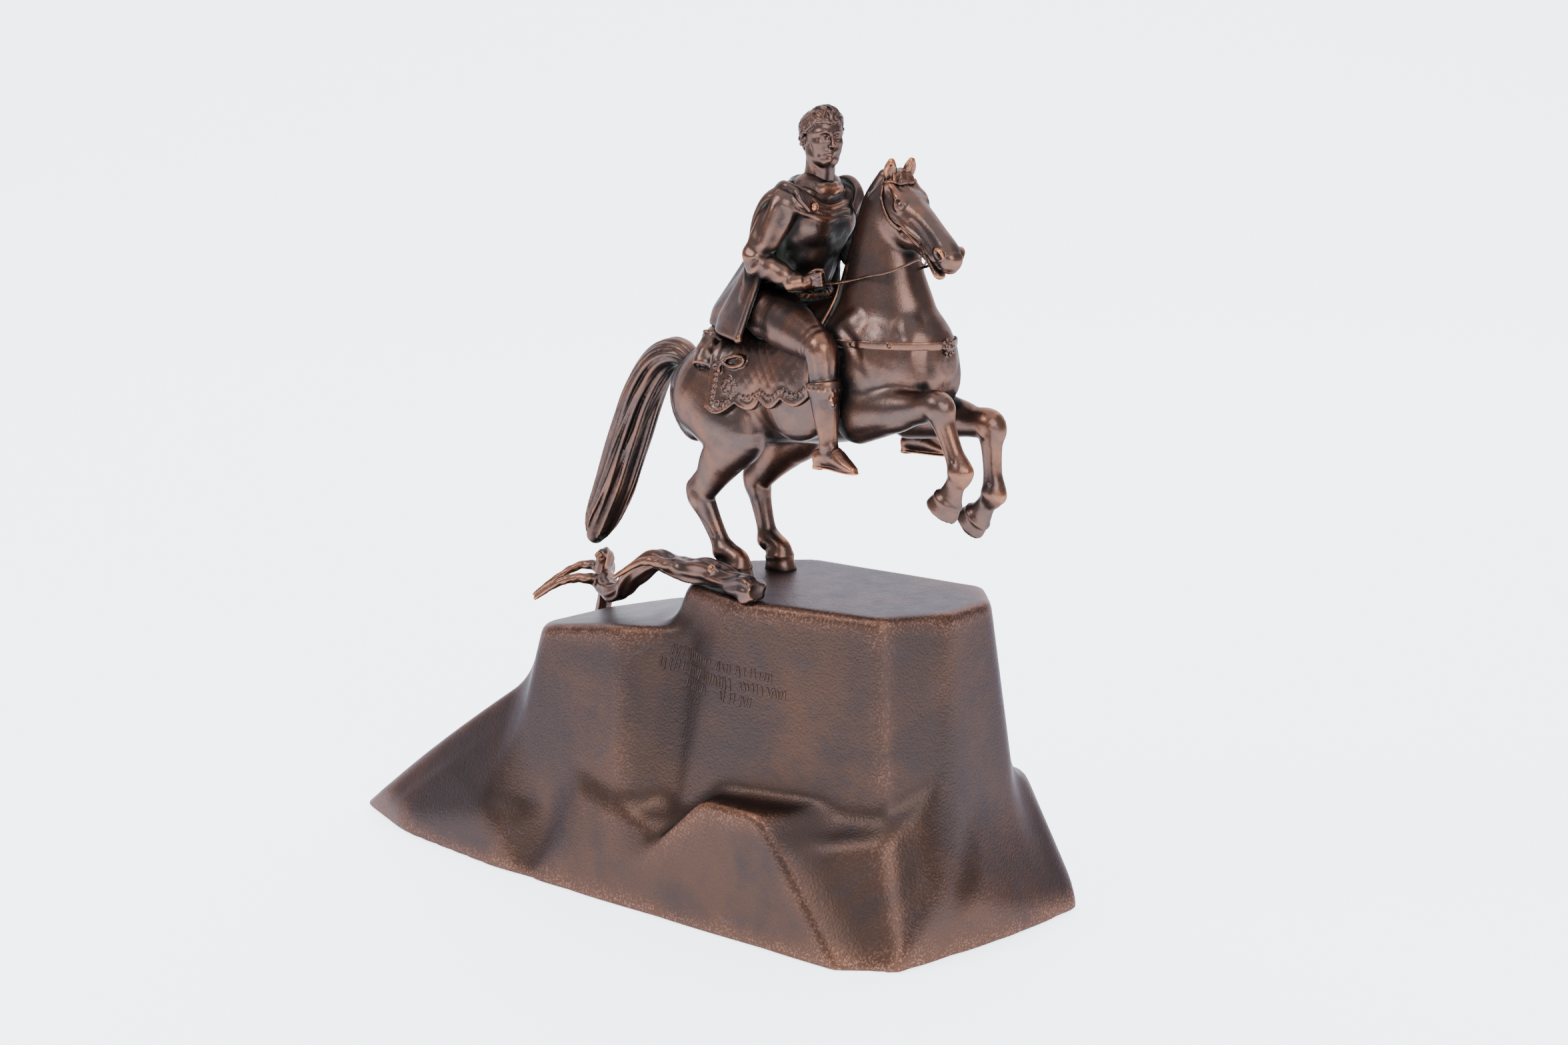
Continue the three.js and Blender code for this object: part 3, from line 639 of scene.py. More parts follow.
# Muscles and bones of each flank as [middle, half sizes, pitch, how softly it melts in].
flankLumps = [
    ([-17, 10, 62], [12, 9, 13], -20, 4), ([-11, 11, 68], [14, 9.5, 12], 10, 4),
    ([62, 10.5, 79], [14, 8.5, 18], 24, 3), ([57, 13.5, 68], [9, 6.2, 8.5], 12, 2.5),
    ([4, 15.2, 55], [9, 6.5, 10], 20, 3), ([77, 6.4, 77.5], [8.6, 6.6, 10.5], 4, 1.6),
    ([52, 12.2, 86], [7, 6, 15], 26, 2.5), ([70, 11.5, 72], [8.5, 5, 7.5], 12, 2),
    ([-24, 8.4, 60], [7.5, 7, 14], -14, 2.5), ([-4, 13.6, 78], [8, 4.4, 5], 20, 4),
    ([33, 15.5, 66], [13, 6.4, 13], -6, 4)]
# Furrows of each flank as [points with a share of the girth at each, girth, how softly it is cut].
flankFurrows = [
    ([(49, 17.6, 98, 0.6), (58, 18.4, 92, 1), (66, 20.4, 82, 1), (72, 19.4, 74, 0.6)], 0.9, 2.4),
    ([(48, 21.5, 76, 0.5), (52, 22.4, 66, 1), (56, 20.6, 58, 0.6)], 0.9, 2.6),
    ([(-27, 15, 66, 0.5), (-23, 16.8, 56, 1), (-16, 19, 46, 0.6)], 0.9, 2.4),
    ([(-4, 22.4, 68, 0.5), (1, 22.2, 64, 1), (6, 21.8, 62, 0.6)], 1.3, 3),
    ([(76, 12, 92, 0.5), (74, 12.4, 101, 1), (71, 11, 110, 1), (68.6, 9.4, 118, 0.6)], 0.8, 2.6)]


# Forearm, knee with its bones and the sinew's groove behind, cannon, fetlock and hoof.
def addForeleg(body, joints):
    body.add(loft(limb(joints, foreGirths), 40, 8, roundEnds=(True, False)), 2.5)
    elbow, knee, fetlock = (np.array(joint) for joint in joints[:3])
    side = np.sign(knee[1])
    ahead, down = unitVectors(knee - elbow), unitVectors(fetlock - knee)
    front = np.cross(down, [0, -1, 0])
    top = np.cross(ahead, [0, -1, 0])
    body.add(lump(elbow + ahead * 15 + top * 1.6 + [0, side * 1.4, 0], [10, 4.8, 5.2], 0), 1.8)
    body.add(lump(elbow + ahead * 17 - top * 2.6 + [0, side * 0.6, 0], [11, 4.2, 4], 0), 1.6)
    body.add(lump(knee + front * 1.4 + down * 0.6, [3.7, 4.5, 4.2]), 1.2)
    body.add(lump(knee + front * 1.2 + down * 4.6, [2.8, 3.4, 2.4]), 0.9)
    body.add(lump(knee - front * 3.8 + down * 2.2, [1.8, 2.3, 3]), 1)
    for edge in (-1, 1):
        body.add(lump(knee + front * 0.4 + down * 1.6 + [0, edge * 3.6, 0], [2.2, 1.5, 2.6]), 0.8)
        body.cut(loft([[*(knee + down * 7 - front * 0.7 + [0, edge * 3.6, 0]), 0.3, 0.3],
                       [*(fetlock - down * 4 - front * 0.9 + [0, edge * 3.1, 0]), 0.35, 0.35]], 10, 8), 0.9)
    body.add(lump(fetlock + [0, 0, 0.2], [4, 4.2, 3.6]), 1.2)
    body.add(lump(fetlock - front * 3 + down * 1, [2, 2.4, 2.6]), 0.8)
    body.add(hoof(joints[3], joints[4]), 0.45)
    body.add(coronet(joints[3], joints[4]), 0.5)


# Thigh, hock with its point and the hollows below it, cannon, sinew, fetlock, pastern and hoof.
def addHindleg(body, joints):
    body.add(loft(limb(joints, hindGirths), 40, 8, roundEnds=(True, False)), 2.5)
    stifle, hock, fetlock = (np.array(joint) for joint in joints[1:4])
    side = np.sign(hock[1])
    shank = unitVectors(hock - stifle)
    body.add(lump(stifle + shank * 9 + [2.6, side * 2, 0], [5.4, 4.8, 9], 34), 2)
    body.add(lump(stifle + shank * 11 + [-4.4, side * 1, -0.5], [4, 4.2, 8.5], 34), 1.8)
    body.add(lump(hock + [-2.9, 0, 1.2], [2.5, 2.6, 3.6], -35), 1.8)
    body.add(lump(hock + [0.8, side * 1.8, -1.6], [3.2, 3, 3.8]), 1.1)
    body.add(lump(hock + [1.8, 0, -3.4], [2.8, 3.7, 4]), 2)
    for edge in (-1, 1):
        body.cut(loft([[*(hock + [-0.6, edge * 3.9, -7]), 0.15, 0.15],
                       [*((hock + fetlock) / 2 + [-1.2, edge * 3.3, 0]), 0.35, 0.35],
                       [*(fetlock + [-2.6, edge * 3, 4.6]), 0.35, 0.35]], 10, 8), 1.2)
    body.add(loft([[*(hock + [-3.4, 0, -2]), 1.6, 1.8], [*(fetlock + [-3.1, 0, 4]), 1.2, 1.3]], 16, 6), 1.6)
    body.add(lump(fetlock + [0.2, 0, 0], [3.8, 4, 3.6]), 1.1)
    body.add(lump(fetlock + [-3, 0, -1], [1.8, 2.3, 2.4]), 0.8)
    pastern = np.array(joints[4]) + [0.6, 0, 0.4]
    body.add(hoof(pastern, joints[5]), 0.45)
    body.add(coronet(pastern, joints[5]), 0.5)
    body.add(loft([[*(fetlock + [0.6, 0, 0.4]), 3.6, 3.6], [*(pastern + [0.6, 0, 1.8]), 3.7, 3.9],
                   [*(pastern + [0.8, 0, -0.6]), 4.2, 4.4]], 28), 1)


# Trunk and neck, the flanks' muscles and furrows, the groove of the breast, withers, breast, the rump's cleft, legs.
def buildHorse():
    body = Volume((-46, -27, -2), (110, 27, 128), horseShape["cell"], 5.0)
    body.add(loft(trunkStations, 96, 12), 1)
    body.add(neckForm(), 4)
    for side in (-1, 1):
        for (x, y, z), sizes, pitch, blend in flankLumps:
            body.add(lump([x, side * y, z], sizes, pitch), blend)
        for path, girth, blend in flankFurrows:
            body.cut(loft([[x, side * y, z, girth * g, girth] for x, y, z, g in path], 16, 5, (0, 1, 0.2)), blend)
    body.cut(loft([[82, 0, 92, 0.6, 0.5], [87.6, 0, 82, 1.1, 0.8], [86, 0, 70, 0.8, 0.7]], 16, 5), 2)
    body.add(lump([36, 0, 93], [14, 8, 6], -16), 5)
    body.add(lump([70, 0, 85], [15.5, 13.5, 16.5], 10), 3)
    body.cut(loft([[-8, 0, 91, 0.4, 0.4], [-24, 0, 84.5, 0.9, 0.7], [-33, 0, 76, 0.8, 0.8]], 14, 5), 2.4)
    for joints in foreJoints:
        addForeleg(body, joints)
    for joints in hindJoints:
        addHindleg(body, joints)
    return body


headAt = np.array(horseShape["headAt"])


# From the head's own frame, with its poll at (0, 0, 0) and its muzzle along +X, to the figure's.
def onHead(points):
    return turn(np.asarray(points, float) * horseShape["headScale"], horseShape["headPitch"],
                horseShape["headYaw"]) + headAt


# Cheek, its ridge, brow, temple, nostril's wing and lip on each side: [middle, half sizes, pitch, yaw, softness].
skullLumps = [
    ([8, 3.9, -7.4], [7.8, 3.5, 6.6], 0, 0, 1.2), ([19, 4.7, -3.2], [8.5, 1, 0.85], 4, -8, 1),
    ([9, 4.9, 3], [4, 2, 1.6], 10, 0, 1), ([3.6, 4.8, 2.6], [3.4, 2.2, 2.4], 0, 0, 1.2),
    ([38.2, 3.5, -0.8], [3.2, 1.7, 2.3], -30, 0, 0.8), ([33, 3.7, -4], [4.6, 1.3, 1.6], 8, 0, 1.2)]


def buildHorseHead():
    head = Volume((36, -22, 98), (110, 16, 160), horseShape["headCell"], 3.2)
    head.add(neckForm(), 0)

    def add(form, blend):
        head.add((onHead(form[0]), form[1]), blend)

    def cut(form, blend):
        head.cut((onHead(form[0]), form[1]), blend)

    add(loft([[-1, 0, -1.5, 5.6, 7], [7, 0, -4.2, 6.9, 9.4], [14, 0, -4.2, 6.4, 9.2], [22, 0, -2.4, 4.9, 7.2],
              [30, 0, -1.3, 4.1, 5.5], [37, 0, -1.4, 4.3, 4.8], [41, 0, -1.8, 4, 4]], 56, 8, square=0.7), 3)
    add(loft([[12, 0, -10, 3.4, 3.4], [22, 0, -8.6, 2.6, 2.4], [30, 0, -8.6, 2.1, 1.7],
              [36, 0, -9.6, 2.5, 1.5]], 28), 1.4)
    add(lump([37.4, 0, -10], [2.6, 2.5, 1.6], 16), 0.7)
    add(lump([41.6, 0, -2.6], [2.6, 3.7, 3.4]), 1)
    add(lump([42, 0, -5], [2, 2.9, 1.7], 10), 0.7)
    add(lump([16, 0, 2.6], [16, 2.4, 1.9], 5), 1.6)
    cut(loft([[33, 0, -6.9, 3.6, 0.5], [38, 0, -7.1, 4.6, 0.8], [46, 0, -7.9, 5, 1.3]], 24, across=(0, 1, 0),
             roundEnds=(True, False)), 0.5)
    add(loft([[34, 0, -6.3, 2.6, 0.5], [39, 0, -6.6, 2.4, 0.5]], 16), 0.3)
    for side in (-1, 1):
        for (x, y, z), sizes, pitch, yaw, blend in skullLumps:
            add(lump([x, side * y, z], sizes, pitch, side * yaw), blend)
        cut(lump([5, side * 6.95, 2.3], [2.3, 1.3, 1.4], 18), 1.2)  # the hollow behind the brow
        # the eye looks outwards and a little ahead: a dome of lids, an almond opening and the ball inside it
        ball = np.array([11.8, side * 4.5, 1.0])
        outward = unitVectors(np.array([0.34, side * 0.82, 0.46]))
        lengthwise = np.array([0.94, 0, -0.3])
        lengthwise = unitVectors(lengthwise - outward * (lengthwise @ outward))
        upward = np.cross(outward, lengthwise) * -side
        add(lump(ball, [2.9, 2.9, 2.9], sides=36, rings=22), 0.8)
        cut(loft([[*(ball + outward * 0.5), 2.15, 1.2], [*(ball + outward * 4.5), 2.4, 1.45]], 32, 3,
                 across=lengthwise, roundEnds=(False, False)), 0.25)
        add(lump(ball, [2.25, 2.25, 2.25], sides=36, rings=22), 0.05)
        add(lump(ball + upward * 3.2 - outward * 0.2 - [0.8, 0, 0], [3.4, 1.4, 1.1], 6, side * -8), 1)

        def ridge(path, girth, blend):
            add(loft([[x, side * y, z, girth * g, girth * g] for x, y, z, g in path], 12, 6, (0, 0, 1)), blend)

        ridge([(12, 6.2, -4.6, 0.5), (17, 5.6, -3.9, 1), (24, 4.7, -3, 0.9), (29, 4.1, -2.6, 0.4)], 0.55, 0.9)
        cut(lump([21, side * 5.5, -6.1], [7, 0.9, 1.5], 8), 1)
        cut(lump([25, side * 5.2, -0.2], [5.5, 0.8, 1.2], 4), 1.2)
        ridge([(36.4, 4.6, -1.8, 0.6), (37.6, 5.1, 0.5, 1.1), (40, 4.7, 1, 1.2), (41.6, 4, -0.4, 1),
               (40.6, 4.4, -2, 0.8)], 0.62, 0.4)
        cut(lump([39.4, side * 4.9, -0.5], [1.9, 1.7, 1.05], 35, side * 25), 0.35)
        ear = [[-0.6, side * 3.2, 4.4, 1.7, 2.1], [-1, side * 3.9, 6.6, 1.85, 2.5], [-1.4, side * 4.2, 8.8, 1.7, 2.3],
               [-1.8, side * 4.3, 10.7, 1.05, 1.4]]
        add(loft(ear, 32, 8, across=(1, 0, 0)), 0.8)
        cut(loft([[1.2, side * 4.4, 5.6, 0.7, 0.9], [0.9, side * 4.9, 7.4, 1.15, 1.4],
                  [0.2, side * 5, 9.4, 0.9, 1.1]], 18, 8, across=(1, 0, 0)), 0.35)
    rng = np.random.default_rng(5)
    half = horseShape["forelockLocks"] // 2
    for n in range(-half, half + 1):  # a short forelock lying on the brow
        y = n * 0.55
        reach = 5.6 - 0.3 * abs(n) + rng.uniform(-1, 1)
        path = [(-3, y * 0.7, 6), (0.3, y * 0.95, 6.4), (reach * 0.6, y * 1.25 + rng.uniform(-0.3, 0.3), 5.6),
                (reach, y * 1.5 + rng.uniform(-0.7, 0.7), 4.8)]
        path = head.settle(onHead(path), 0.1)
        girths = np.array([0.7, 0.8, 0.62, 0.25])
        head.add(tube(path, girths, girths * 0.7, 12), 0.25)
    return head


# Seen from the side, the head's mesh takes over from the body's above this slanting line across the neck.
def aboveSeam(points):
    return points @ np.array([0.3, 0, 0.95]) - 125.3


horse = buildHorse()
horseHead = buildHorseHead()
report("horse")


# A lock of hair: a flattened tube, slimmer at its root and tapering to its tip. Locks are melted into each other
# just enough to keep their grooves.
def lock(path, girth, flat, across, tip=0.25):
    share = np.linspace(0, 1, len(path))
    size = girth * (1 - (1 - tip) * share ** 2.2) * (0.75 + 0.25 * np.minimum(1, share * 4))
    return tube(path, size, size * flat, 14, 5, across)


# fall is how far a lock hangs in mm and sway how far it swings forward. Every seventh lock lies on the other side.
maneShape = {"cell": 0.5, "locks": 30, "girth": 1.9, "fall": 15, "fallChange": 4, "sway": 2.2, "crossing": 7}


def buildMane():
    mane = Volume((30, -10, 82), (74, 20, 154), maneShape["cell"], 1.5)
    rng = np.random.default_rng(7)
    crest = [[38.5, 0, 96], [41, 0, 105], [44.5, 0, 115], [48, 0, 125], [52.5, 0, 136], [59, 0, 145.5]]
    for n in range(maneShape["locks"]):
        t = 5 * (n + 0.5) / maneShape["locks"]
        root = rowsAt(crest, np.array([t]))[0]
        root[0] += 1.5
        fall = maneShape["fall"] + maneShape["fallChange"] * math.sin(n * 1.7) + rng.uniform(-1, 2)
        sway = maneShape["sway"] * math.sin(n * 0.9) - 2
        side = 1 if n % maneShape["crossing"] != 3 else -0.45
        reach = 1 if side > 0 else 0.5
        path = [root + [1.2, -1.2 * side, -0.5], root + [-0.6, 1.2 * side, 1.2], root + [-0.4, 5.2 * side, 0.2],
                root + [1.5 + 0.3 * sway, (8.6 + rng.uniform(-0.6, 0.8)) * side, -0.35 * fall * reach],
                root + [2.5 + sway, (10 + rng.uniform(-0.8, 0.8)) * side, -0.72 * fall * reach],
                root + [1 + 1.6 * sway, (10.6 + rng.uniform(-1, 0.6)) * side, -fall * reach]]
        mane.add(lock(path, maneShape["girth"], 0.8, (1, 0, 0.3)), 0.35)
    core = [[39, 1, 95, 1.6, 2.6], [40.5, 2, 104, 3.2, 3.6], [44, 3, 114, 4, 4.2], [47.5, 3, 125, 4, 4],
            [52, 2, 136, 3.4, 3.8], [58, 0.6, 144.5, 2.6, 2.6]]
    mane.add(loft(core, 20), 0.6)
    return mane


mane = buildMane()


# Each lock winds a little round the tail's girth on its way down: angle = first + twist t + wave sin(1.1 t + phase).
tailShape = {"cell": 0.58, "locks": 27, "girth": 1.25, "girthChange": 0.35, "twist": 0.14, "wave": 0.13,
             "girths": [3.4, 4.6, 6.0, 7.1, 7.7, 7.8, 6.6, 4.0],
             "spine": [[-30, 0, 73], [-38, 0, 76.2], [-47, 0, 72.5], [-56, 0, 60], [-63.5, 0, 43], [-71, 0, 25],
                       [-78, 0, 11], [-82, 0, 3.5]]}


def buildTail():
    tail = Volume((-98, -14, -4), (-26, 14, 86), tailShape["cell"], 1.7)
    spine, girths, count = tailShape["spine"], np.array(tailShape["girths"]), tailShape["locks"]
    tail.add(tube(spine, girths * 0.84, girths * 0.9, 40, 6), 0)
    rng = np.random.default_rng(3)
    for n in range(count):
        first = 2 * math.pi * n / count
        wave = rng.uniform(0, 6.28)
        path = []
        for t in np.linspace(0.3, 7.1 - 0.35 * rng.uniform(0, 1) - 0.3 * (n % 3), 15):
            at, before, after = (rowsAt(spine, np.array([place]))[0] for place in (t, t - 0.05, min(t + 0.05, 7)))
            ahead = unitVectors(after - before)
            girth = np.interp(t, range(8), girths)
            angle = first + tailShape["twist"] * t + tailShape["wave"] * math.sin(1.1 * t + wave)
            out = np.array([0, 1.0, 0]) * math.cos(angle) * 0.94 + np.cross(ahead, [0, 1, 0]) * math.sin(angle)
            path.append(at + out * (girth - 0.6 + 0.45 * math.sin(1.3 * t + 2 * wave)))
        thick = tailShape["girth"] + tailShape["girthChange"] * math.sin(n * 2.1)
        tail.add(lock(path, thick, 0.95, (0.2, 1, 0), tip=0.3), 0.2)
    return tail


tail = buildTail()
report("mane and tail")


# The rider: stations are [x, y, z, half width, half depth], girths [place along the joints, half width, half depth].
torsoStations = [
    [14, 0, 97, 12.5, 11], [18, 0, 105, 12.4, 10.2], [22, 0, 114, 13, 10], [25, 0, 124, 15.4, 11],
    [27, 0, 132, 16.6, 10.2], [28, 0, 138, 11.5, 7.2]]
skirtStations = [
    [16, 0, 104.5, 12.4, 10.6], [15.5, 0, 103, 12.8, 11.4], [13.5, 0, 98.5, 15.4, 14.4], [13, 0, 93, 19, 17]]
armGirths = [[0, 6.2, 6.4], [0.5, 5.6, 5.6], [1, 4.3, 4.5], [1.4, 4.2, 4.2], [2, 2.9, 2.8], [2.4, 2.6, 2.6]]
rightArm = [[27, -16, 134], [20.5, -23.5, 115.5], [34, -16.5, 108], [39, -10.5, 109]]
leftArm = [[27.5, 16, 134], [22, 23.5, 116], [35, 16, 109], [40, 9, 111]]
legGirths = [
    [0, 9, 10], [0.5, 8, 8.8], [0.85, 6.2, 6.6], [1.05, 5.6, 5.8], [1.3, 4.6, 5.2], [1.55, 4.4, 5.2], [1.9, 3, 3.3],
    [2, 3, 3.3]]
rightLeg = [[14, -11, 97], [51, -24, 88], [55.5, -25, 55]]
leftLeg = [[14, 11, 97], [51, 24, 88], [52.5, 25, 54]]
riderShape = {"cell": 0.5, "headCell": 0.25, "handCell": 0.28, "foldDepth": 1.0, "skirtFolds": 13, "beads": 18,
              "petals": 6}


# A lock tapering along a path and lying flat against whatever faces `outward`.
def strand(path, girth, outward):
    share = np.linspace(0, 1, len(path))
    size = girth * (1 - 0.65 * share ** 2) * (0.7 + 0.3 * np.minimum(1, share * 3))
    return tube(path, size, size * 0.66, 12, 5, np.cross(path[-1] - path[0], outward))


# Round a waist or neck: C + a cos t X + b sin t Y, tilted, with a second small circle that it makes `turns` times.
def ring(centre, sizes, tilt, girth, turns, wobble, count, lift=0.0, phase=0.0):
    t = np.linspace(0, 2 * math.pi, count + 1)
    out = 1 + (wobble * np.cos(turns * t + phase)) / max(sizes)
    rows = np.stack([sizes[0] * np.cos(t) * out, sizes[1] * np.sin(t) * out,
                     wobble * np.sin(turns * t + phase) + lift], -1)
    return tube(turn(rows, tilt) + np.asarray(centre, float), girth, None, 12, 3, (0.02, 0.03, 1))


# A boot's foot below the ankle at (x, y, z), turned a little outwards: upper, sole and heel.
def foot(x, y, z):
    out = math.copysign(1, y)
    upper = loft([[x - 4, y, z - 4, 2.7, 2.9], [x + 2, y, z - 3.2, 3, 3.8], [x + 8.5, y + out * 1.6, z - 5, 2.9, 2.4],
                  [x + 13.4, y + out * 2.8, z - 6.3, 1.9, 1.2]], 28, 8)
    sole = loft([[x - 5.6, y, z - 7.6, 2.4, 0.5], [x + 1, y + out * 0.1, z - 7.4, 2.4, 0.5],
                 [x + 7, y + out * 1.2, z - 7.4, 3.2, 0.5], [x + 12, y + out * 2.4, z - 7.5, 2.8, 0.5],
                 [x + 14.6, y + out * 3, z - 7.5, 1.5, 0.4]], 28, 8)
    heel = loft([[x - 4.2, y, z - 4.6, 2.5, 2.3], [x - 4.4, y, z - 8.2, 2.3, 2]], 24, 4, across=(0, 1, 0),
                roundEnds=(True, False))
    return upper, sole, heel


# Soft folds: waves round the body, strongest at the belt and across the chest.
def tunicFolds(u, v):
    gather = np.exp(-((v - 0.2) / 0.2) ** 2) * np.sin(2 * math.pi * (15 * u + 0.4 * np.sin(6 * v)))
    slant = np.exp(-((v - 0.55) / 0.24) ** 2) * np.sin(2 * math.pi * (5 * v - 3 * u))
    return riderShape["foldDepth"] * (0.34 * gather + 0.3 * slant)


# Upright folds that deepen towards the skirt's hem and are keen in their valleys: |sin|.
def skirtFolds(u, v):
    fold = np.abs(np.sin(math.pi * riderShape["skirtFolds"] * u + 1.2 * np.sin(9 * u))) - 0.5
    return riderShape["foldDepth"] * 0.95 * np.clip(v, 0, 1) ** 0.7 * fold


# Rings of cloth pushed up at the elbow and along the forearm.
def sleeveFolds(u, v):
    bunch = np.exp(-((v - 0.42) / 0.13) ** 2) + 0.6 * np.exp(-((v - 0.76) / 0.12) ** 2)
    drape = np.clip(0.5 - v, 0, 0.5) * np.clip(v * 12, 0, 1) * np.sin(2 * math.pi * (5 * u + 1.6 * v))
    rings = np.sin(2 * math.pi * (9.5 * v + 0.4 * np.cos(2 * math.pi * (u + 0.1))))
    return riderShape["foldDepth"] * (0.46 * bunch * rings + 1.3 * drape)


# Rings of cloth at the hip and above the knee, and a ribbed stocking below it.
def breechFolds(u, v):
    s = v * 7
    hipFold = np.exp(-((s - 0.4) / 0.55) ** 2) * np.sin(2 * math.pi * (1.9 * s + 0.5 * np.cos(2 * math.pi * u)))
    kneeFold = np.exp(-((s - 2.6) / 0.5) ** 2) * np.sin(2 * math.pi * (2.6 * s + 0.4 * np.sin(2 * math.pi * u)))
    shin = np.clip((s - 3.0) * 3, 0, 1) * np.clip((4.1 - s) * 3, 0, 1)
    return riderShape["foldDepth"] * (0.4 * hipFold + 0.16 * kneeFold + 0.22 * shin * np.sin(2 * math.pi * 9 * u))


# Sleeve and cuff.
def addArm(body, joints):
    wrist, hand = (np.array(joint, float) for joint in joints[2:])
    body.add(loft(limb(joints, armGirths), 56, 12, across=(0.3, 1, 0), relief=sleeveFolds), 1.4)
    ahead = unitVectors(hand - wrist)
    body.add(loft([[*(wrist - ahead * 2.2), 3.1, 3], [*(wrist + ahead * 0.6), 3.35, 3.25],
                   [*(wrist + ahead * 1.3), 3, 2.9]], 36, 6, across=(0.3, 1, 0), roundEnds=(True, False)), 0.35)


# Breeches and boot, whose top is a turned band with a row of beads and a boss of petals at the front.
def addLeg(body, joints):
    knee, ankle = (np.array(joint, float) for joint in joints[1:])
    out = math.copysign(1, knee[1])
    body.add(loft(limb(joints, legGirths), 72, 12, relief=breechFolds), 1.6)
    body.add(lump(knee + [0.4, out * 0.6, -0.4], [5, 4.8, 5.2]), 1.6)

    def shaft(rows):
        return [[*partWay(knee, ankle, share), width, depth] for share, width, depth in rows]

    body.add(loft(shaft([(0.34, 5.3, 5.9), (0.37, 5.6, 6.15), (0.46, 5.35, 6), (0.5, 4.6, 5.4)]), 48, 6,
                  across=(0, 1, 0), roundEnds=(False, False)), 0.3)
    body.add(loft(shaft([(0.49, 4.7, 5.4), (0.7, 3.95, 4.7), (0.92, 3.1, 3.4), (1, 3.1, 3.4)]), 48, 8), 0.4)
    for n in range(riderShape["beads"]):
        t = 2 * math.pi * n / riderShape["beads"]
        at = partWay(knee, ankle, 0.415) + np.array([6.05 * math.sin(t), 5.55 * math.cos(t), 0])
        body.add(lump(at, [0.62, 0.62, 0.62], sides=12, rings=8), 0.15)
    boss = partWay(knee, ankle, 0.5) + np.array([4.7, out * 1.4, 0])
    body.add(lump(boss, [1.3, 1.6, 2.2]), 0.5)
    for n in range(riderShape["petals"]):
        t = 2 * math.pi * n / riderShape["petals"]
        petal = boss + np.array([0.6, 1.5 * math.cos(t), 2 * math.sin(t)])
        body.add(lump(petal, [0.75, 0.8, 1], sides=12, rings=8), 0.25)
    for form in foot(*ankle):
        body.add(form, 0.7)
    for n in range(2):  # creases over the instep
        crease = [[ankle[0] + 1.8 + n * 1.7, ankle[1] - 3.6, ankle[2] - 2.6 - n],
                  [ankle[0] + 3.6 + n * 1.7, ankle[1], ankle[2] + 0.3 - n * 1.1],
                  [ankle[0] + 1.8 + n * 1.7, ankle[1] + 3.6, ankle[2] - 2.6 - n]]
        body.cut(tube(crease, 0.2, None, 10, 6, (1, 0, 0.4)), 0.5)


# Cloth gathered along the mantle's front edge, slung across the chest: [near end, middle, far end].
chestFolds = [
    ((27, -15.5, 138), (36, -4, 132.6), (34, 10, 134)), ((29, -16.5, 135.6), (36.6, -5, 130.6), (36, 9, 131.6)),
    ((31, -17, 133), (36.6, -6.5, 128.6), (37, 7, 129)), ((24, -14, 140), (33.6, -4, 135.4), (31.6, 9, 136.6))]


# Tunic and skirt, chest and shoulders, arms, legs, sash with its knot, chest folds with their clasp, collar.
def buildRider():
    body = Volume((-4, -34, 42), (76, 34, 146), riderShape["cell"], 3.0)
    body.add(loft(torsoStations, 96, 14, relief=tunicFolds), 0)
    body.add(loft(skirtStations, 120, 10, roundEnds=(False, False), relief=skirtFolds), 0.6)
    for y in (-1, 1):
        body.add(lump([32.4, 6.2 * y, 127], [4.6, 6.6, 5.4], -14), 3)
        body.add(lump([29, 12.6 * y, 134.4], [6.2, 5.6, 4.6], 0), 2.5)
    for joints in (rightArm, leftArm):
        addArm(body, joints)
    for joints in (rightLeg, leftLeg):
        addLeg(body, joints)
    for phase in (0, 2.1, 4.2):  # the sash's three strands
        body.add(ring((17.6, 0, 104), (10.9, 13.1), 14, 1.15, 11, 0.85, 60, phase=phase), 0.25)
    knot = np.array([24.6, -10.6, 102.2])
    for at, sizes, pitch in (((0, 0, 0), (2.3, 1.7, 2), 20), ((1.1, -0.4, 1), (1.5, 1.2, 1.1), -30),
                             ((-1, -0.8, -0.8), (1.6, 1.2, 1.2), 40)):
        body.add(lump(knot + np.array(at), sizes, pitch), 0.3)
    for lean, reach in ((-2.5, 8.5), (1.8, 7)):
        path = [knot, knot + [lean * 0.3 + 0.8, -1.6, -reach * 0.35], knot + [lean * 0.7 + 1.6, -3, -reach * 0.7],
                knot + [lean + 2, -4, -reach]]
        body.add(tube(path, (0.9, 1.3, 1.7, 2.1), 0.75, 16, 6, (1, 0.3, 0)), 0.25)
    for start, middle, finish in chestFolds:
        before = ((start[0] + middle[0]) / 2 + 2, (start[1] + middle[1]) / 2, (start[2] + middle[2]) / 2 - 0.2)
        after = ((finish[0] + middle[0]) / 2 + 0.5, (finish[1] + middle[1]) / 2, (finish[2] + middle[2]) / 2)
        path = body.settle(rowsAt([start, before, middle, after, finish], np.linspace(0, 4, 9)), 0.15)
        girths = 1.2 - 0.9 * np.abs(np.linspace(-1, 1, 9)) ** 3
        body.add(tube(path, girths, girths * 0.7, 16, 4, (0.2, 0, 1)), 0.6)
    clasp = body.settle(np.array([[34, -11.4, 133.6]]), 1.1)[0]
    body.add(lump(clasp, [1.3, 1.7, 1.7], sides=24, rings=14), 0.4)
    body.add(lump(clasp + [0.5, -0.2, 0.1], [1.1, 0.9, 0.9], sides=20, rings=12), 0.2)
    for girth, lift, size in ((1.5, 0, 7.2), (1.1, 1.7, 6.3)):
        body.add(ring((28.6, 0, 139.4), (size, size), 8, girth, 9, 0.18, 40, lift=lift), 0.4)
    return body


rider = buildRider()


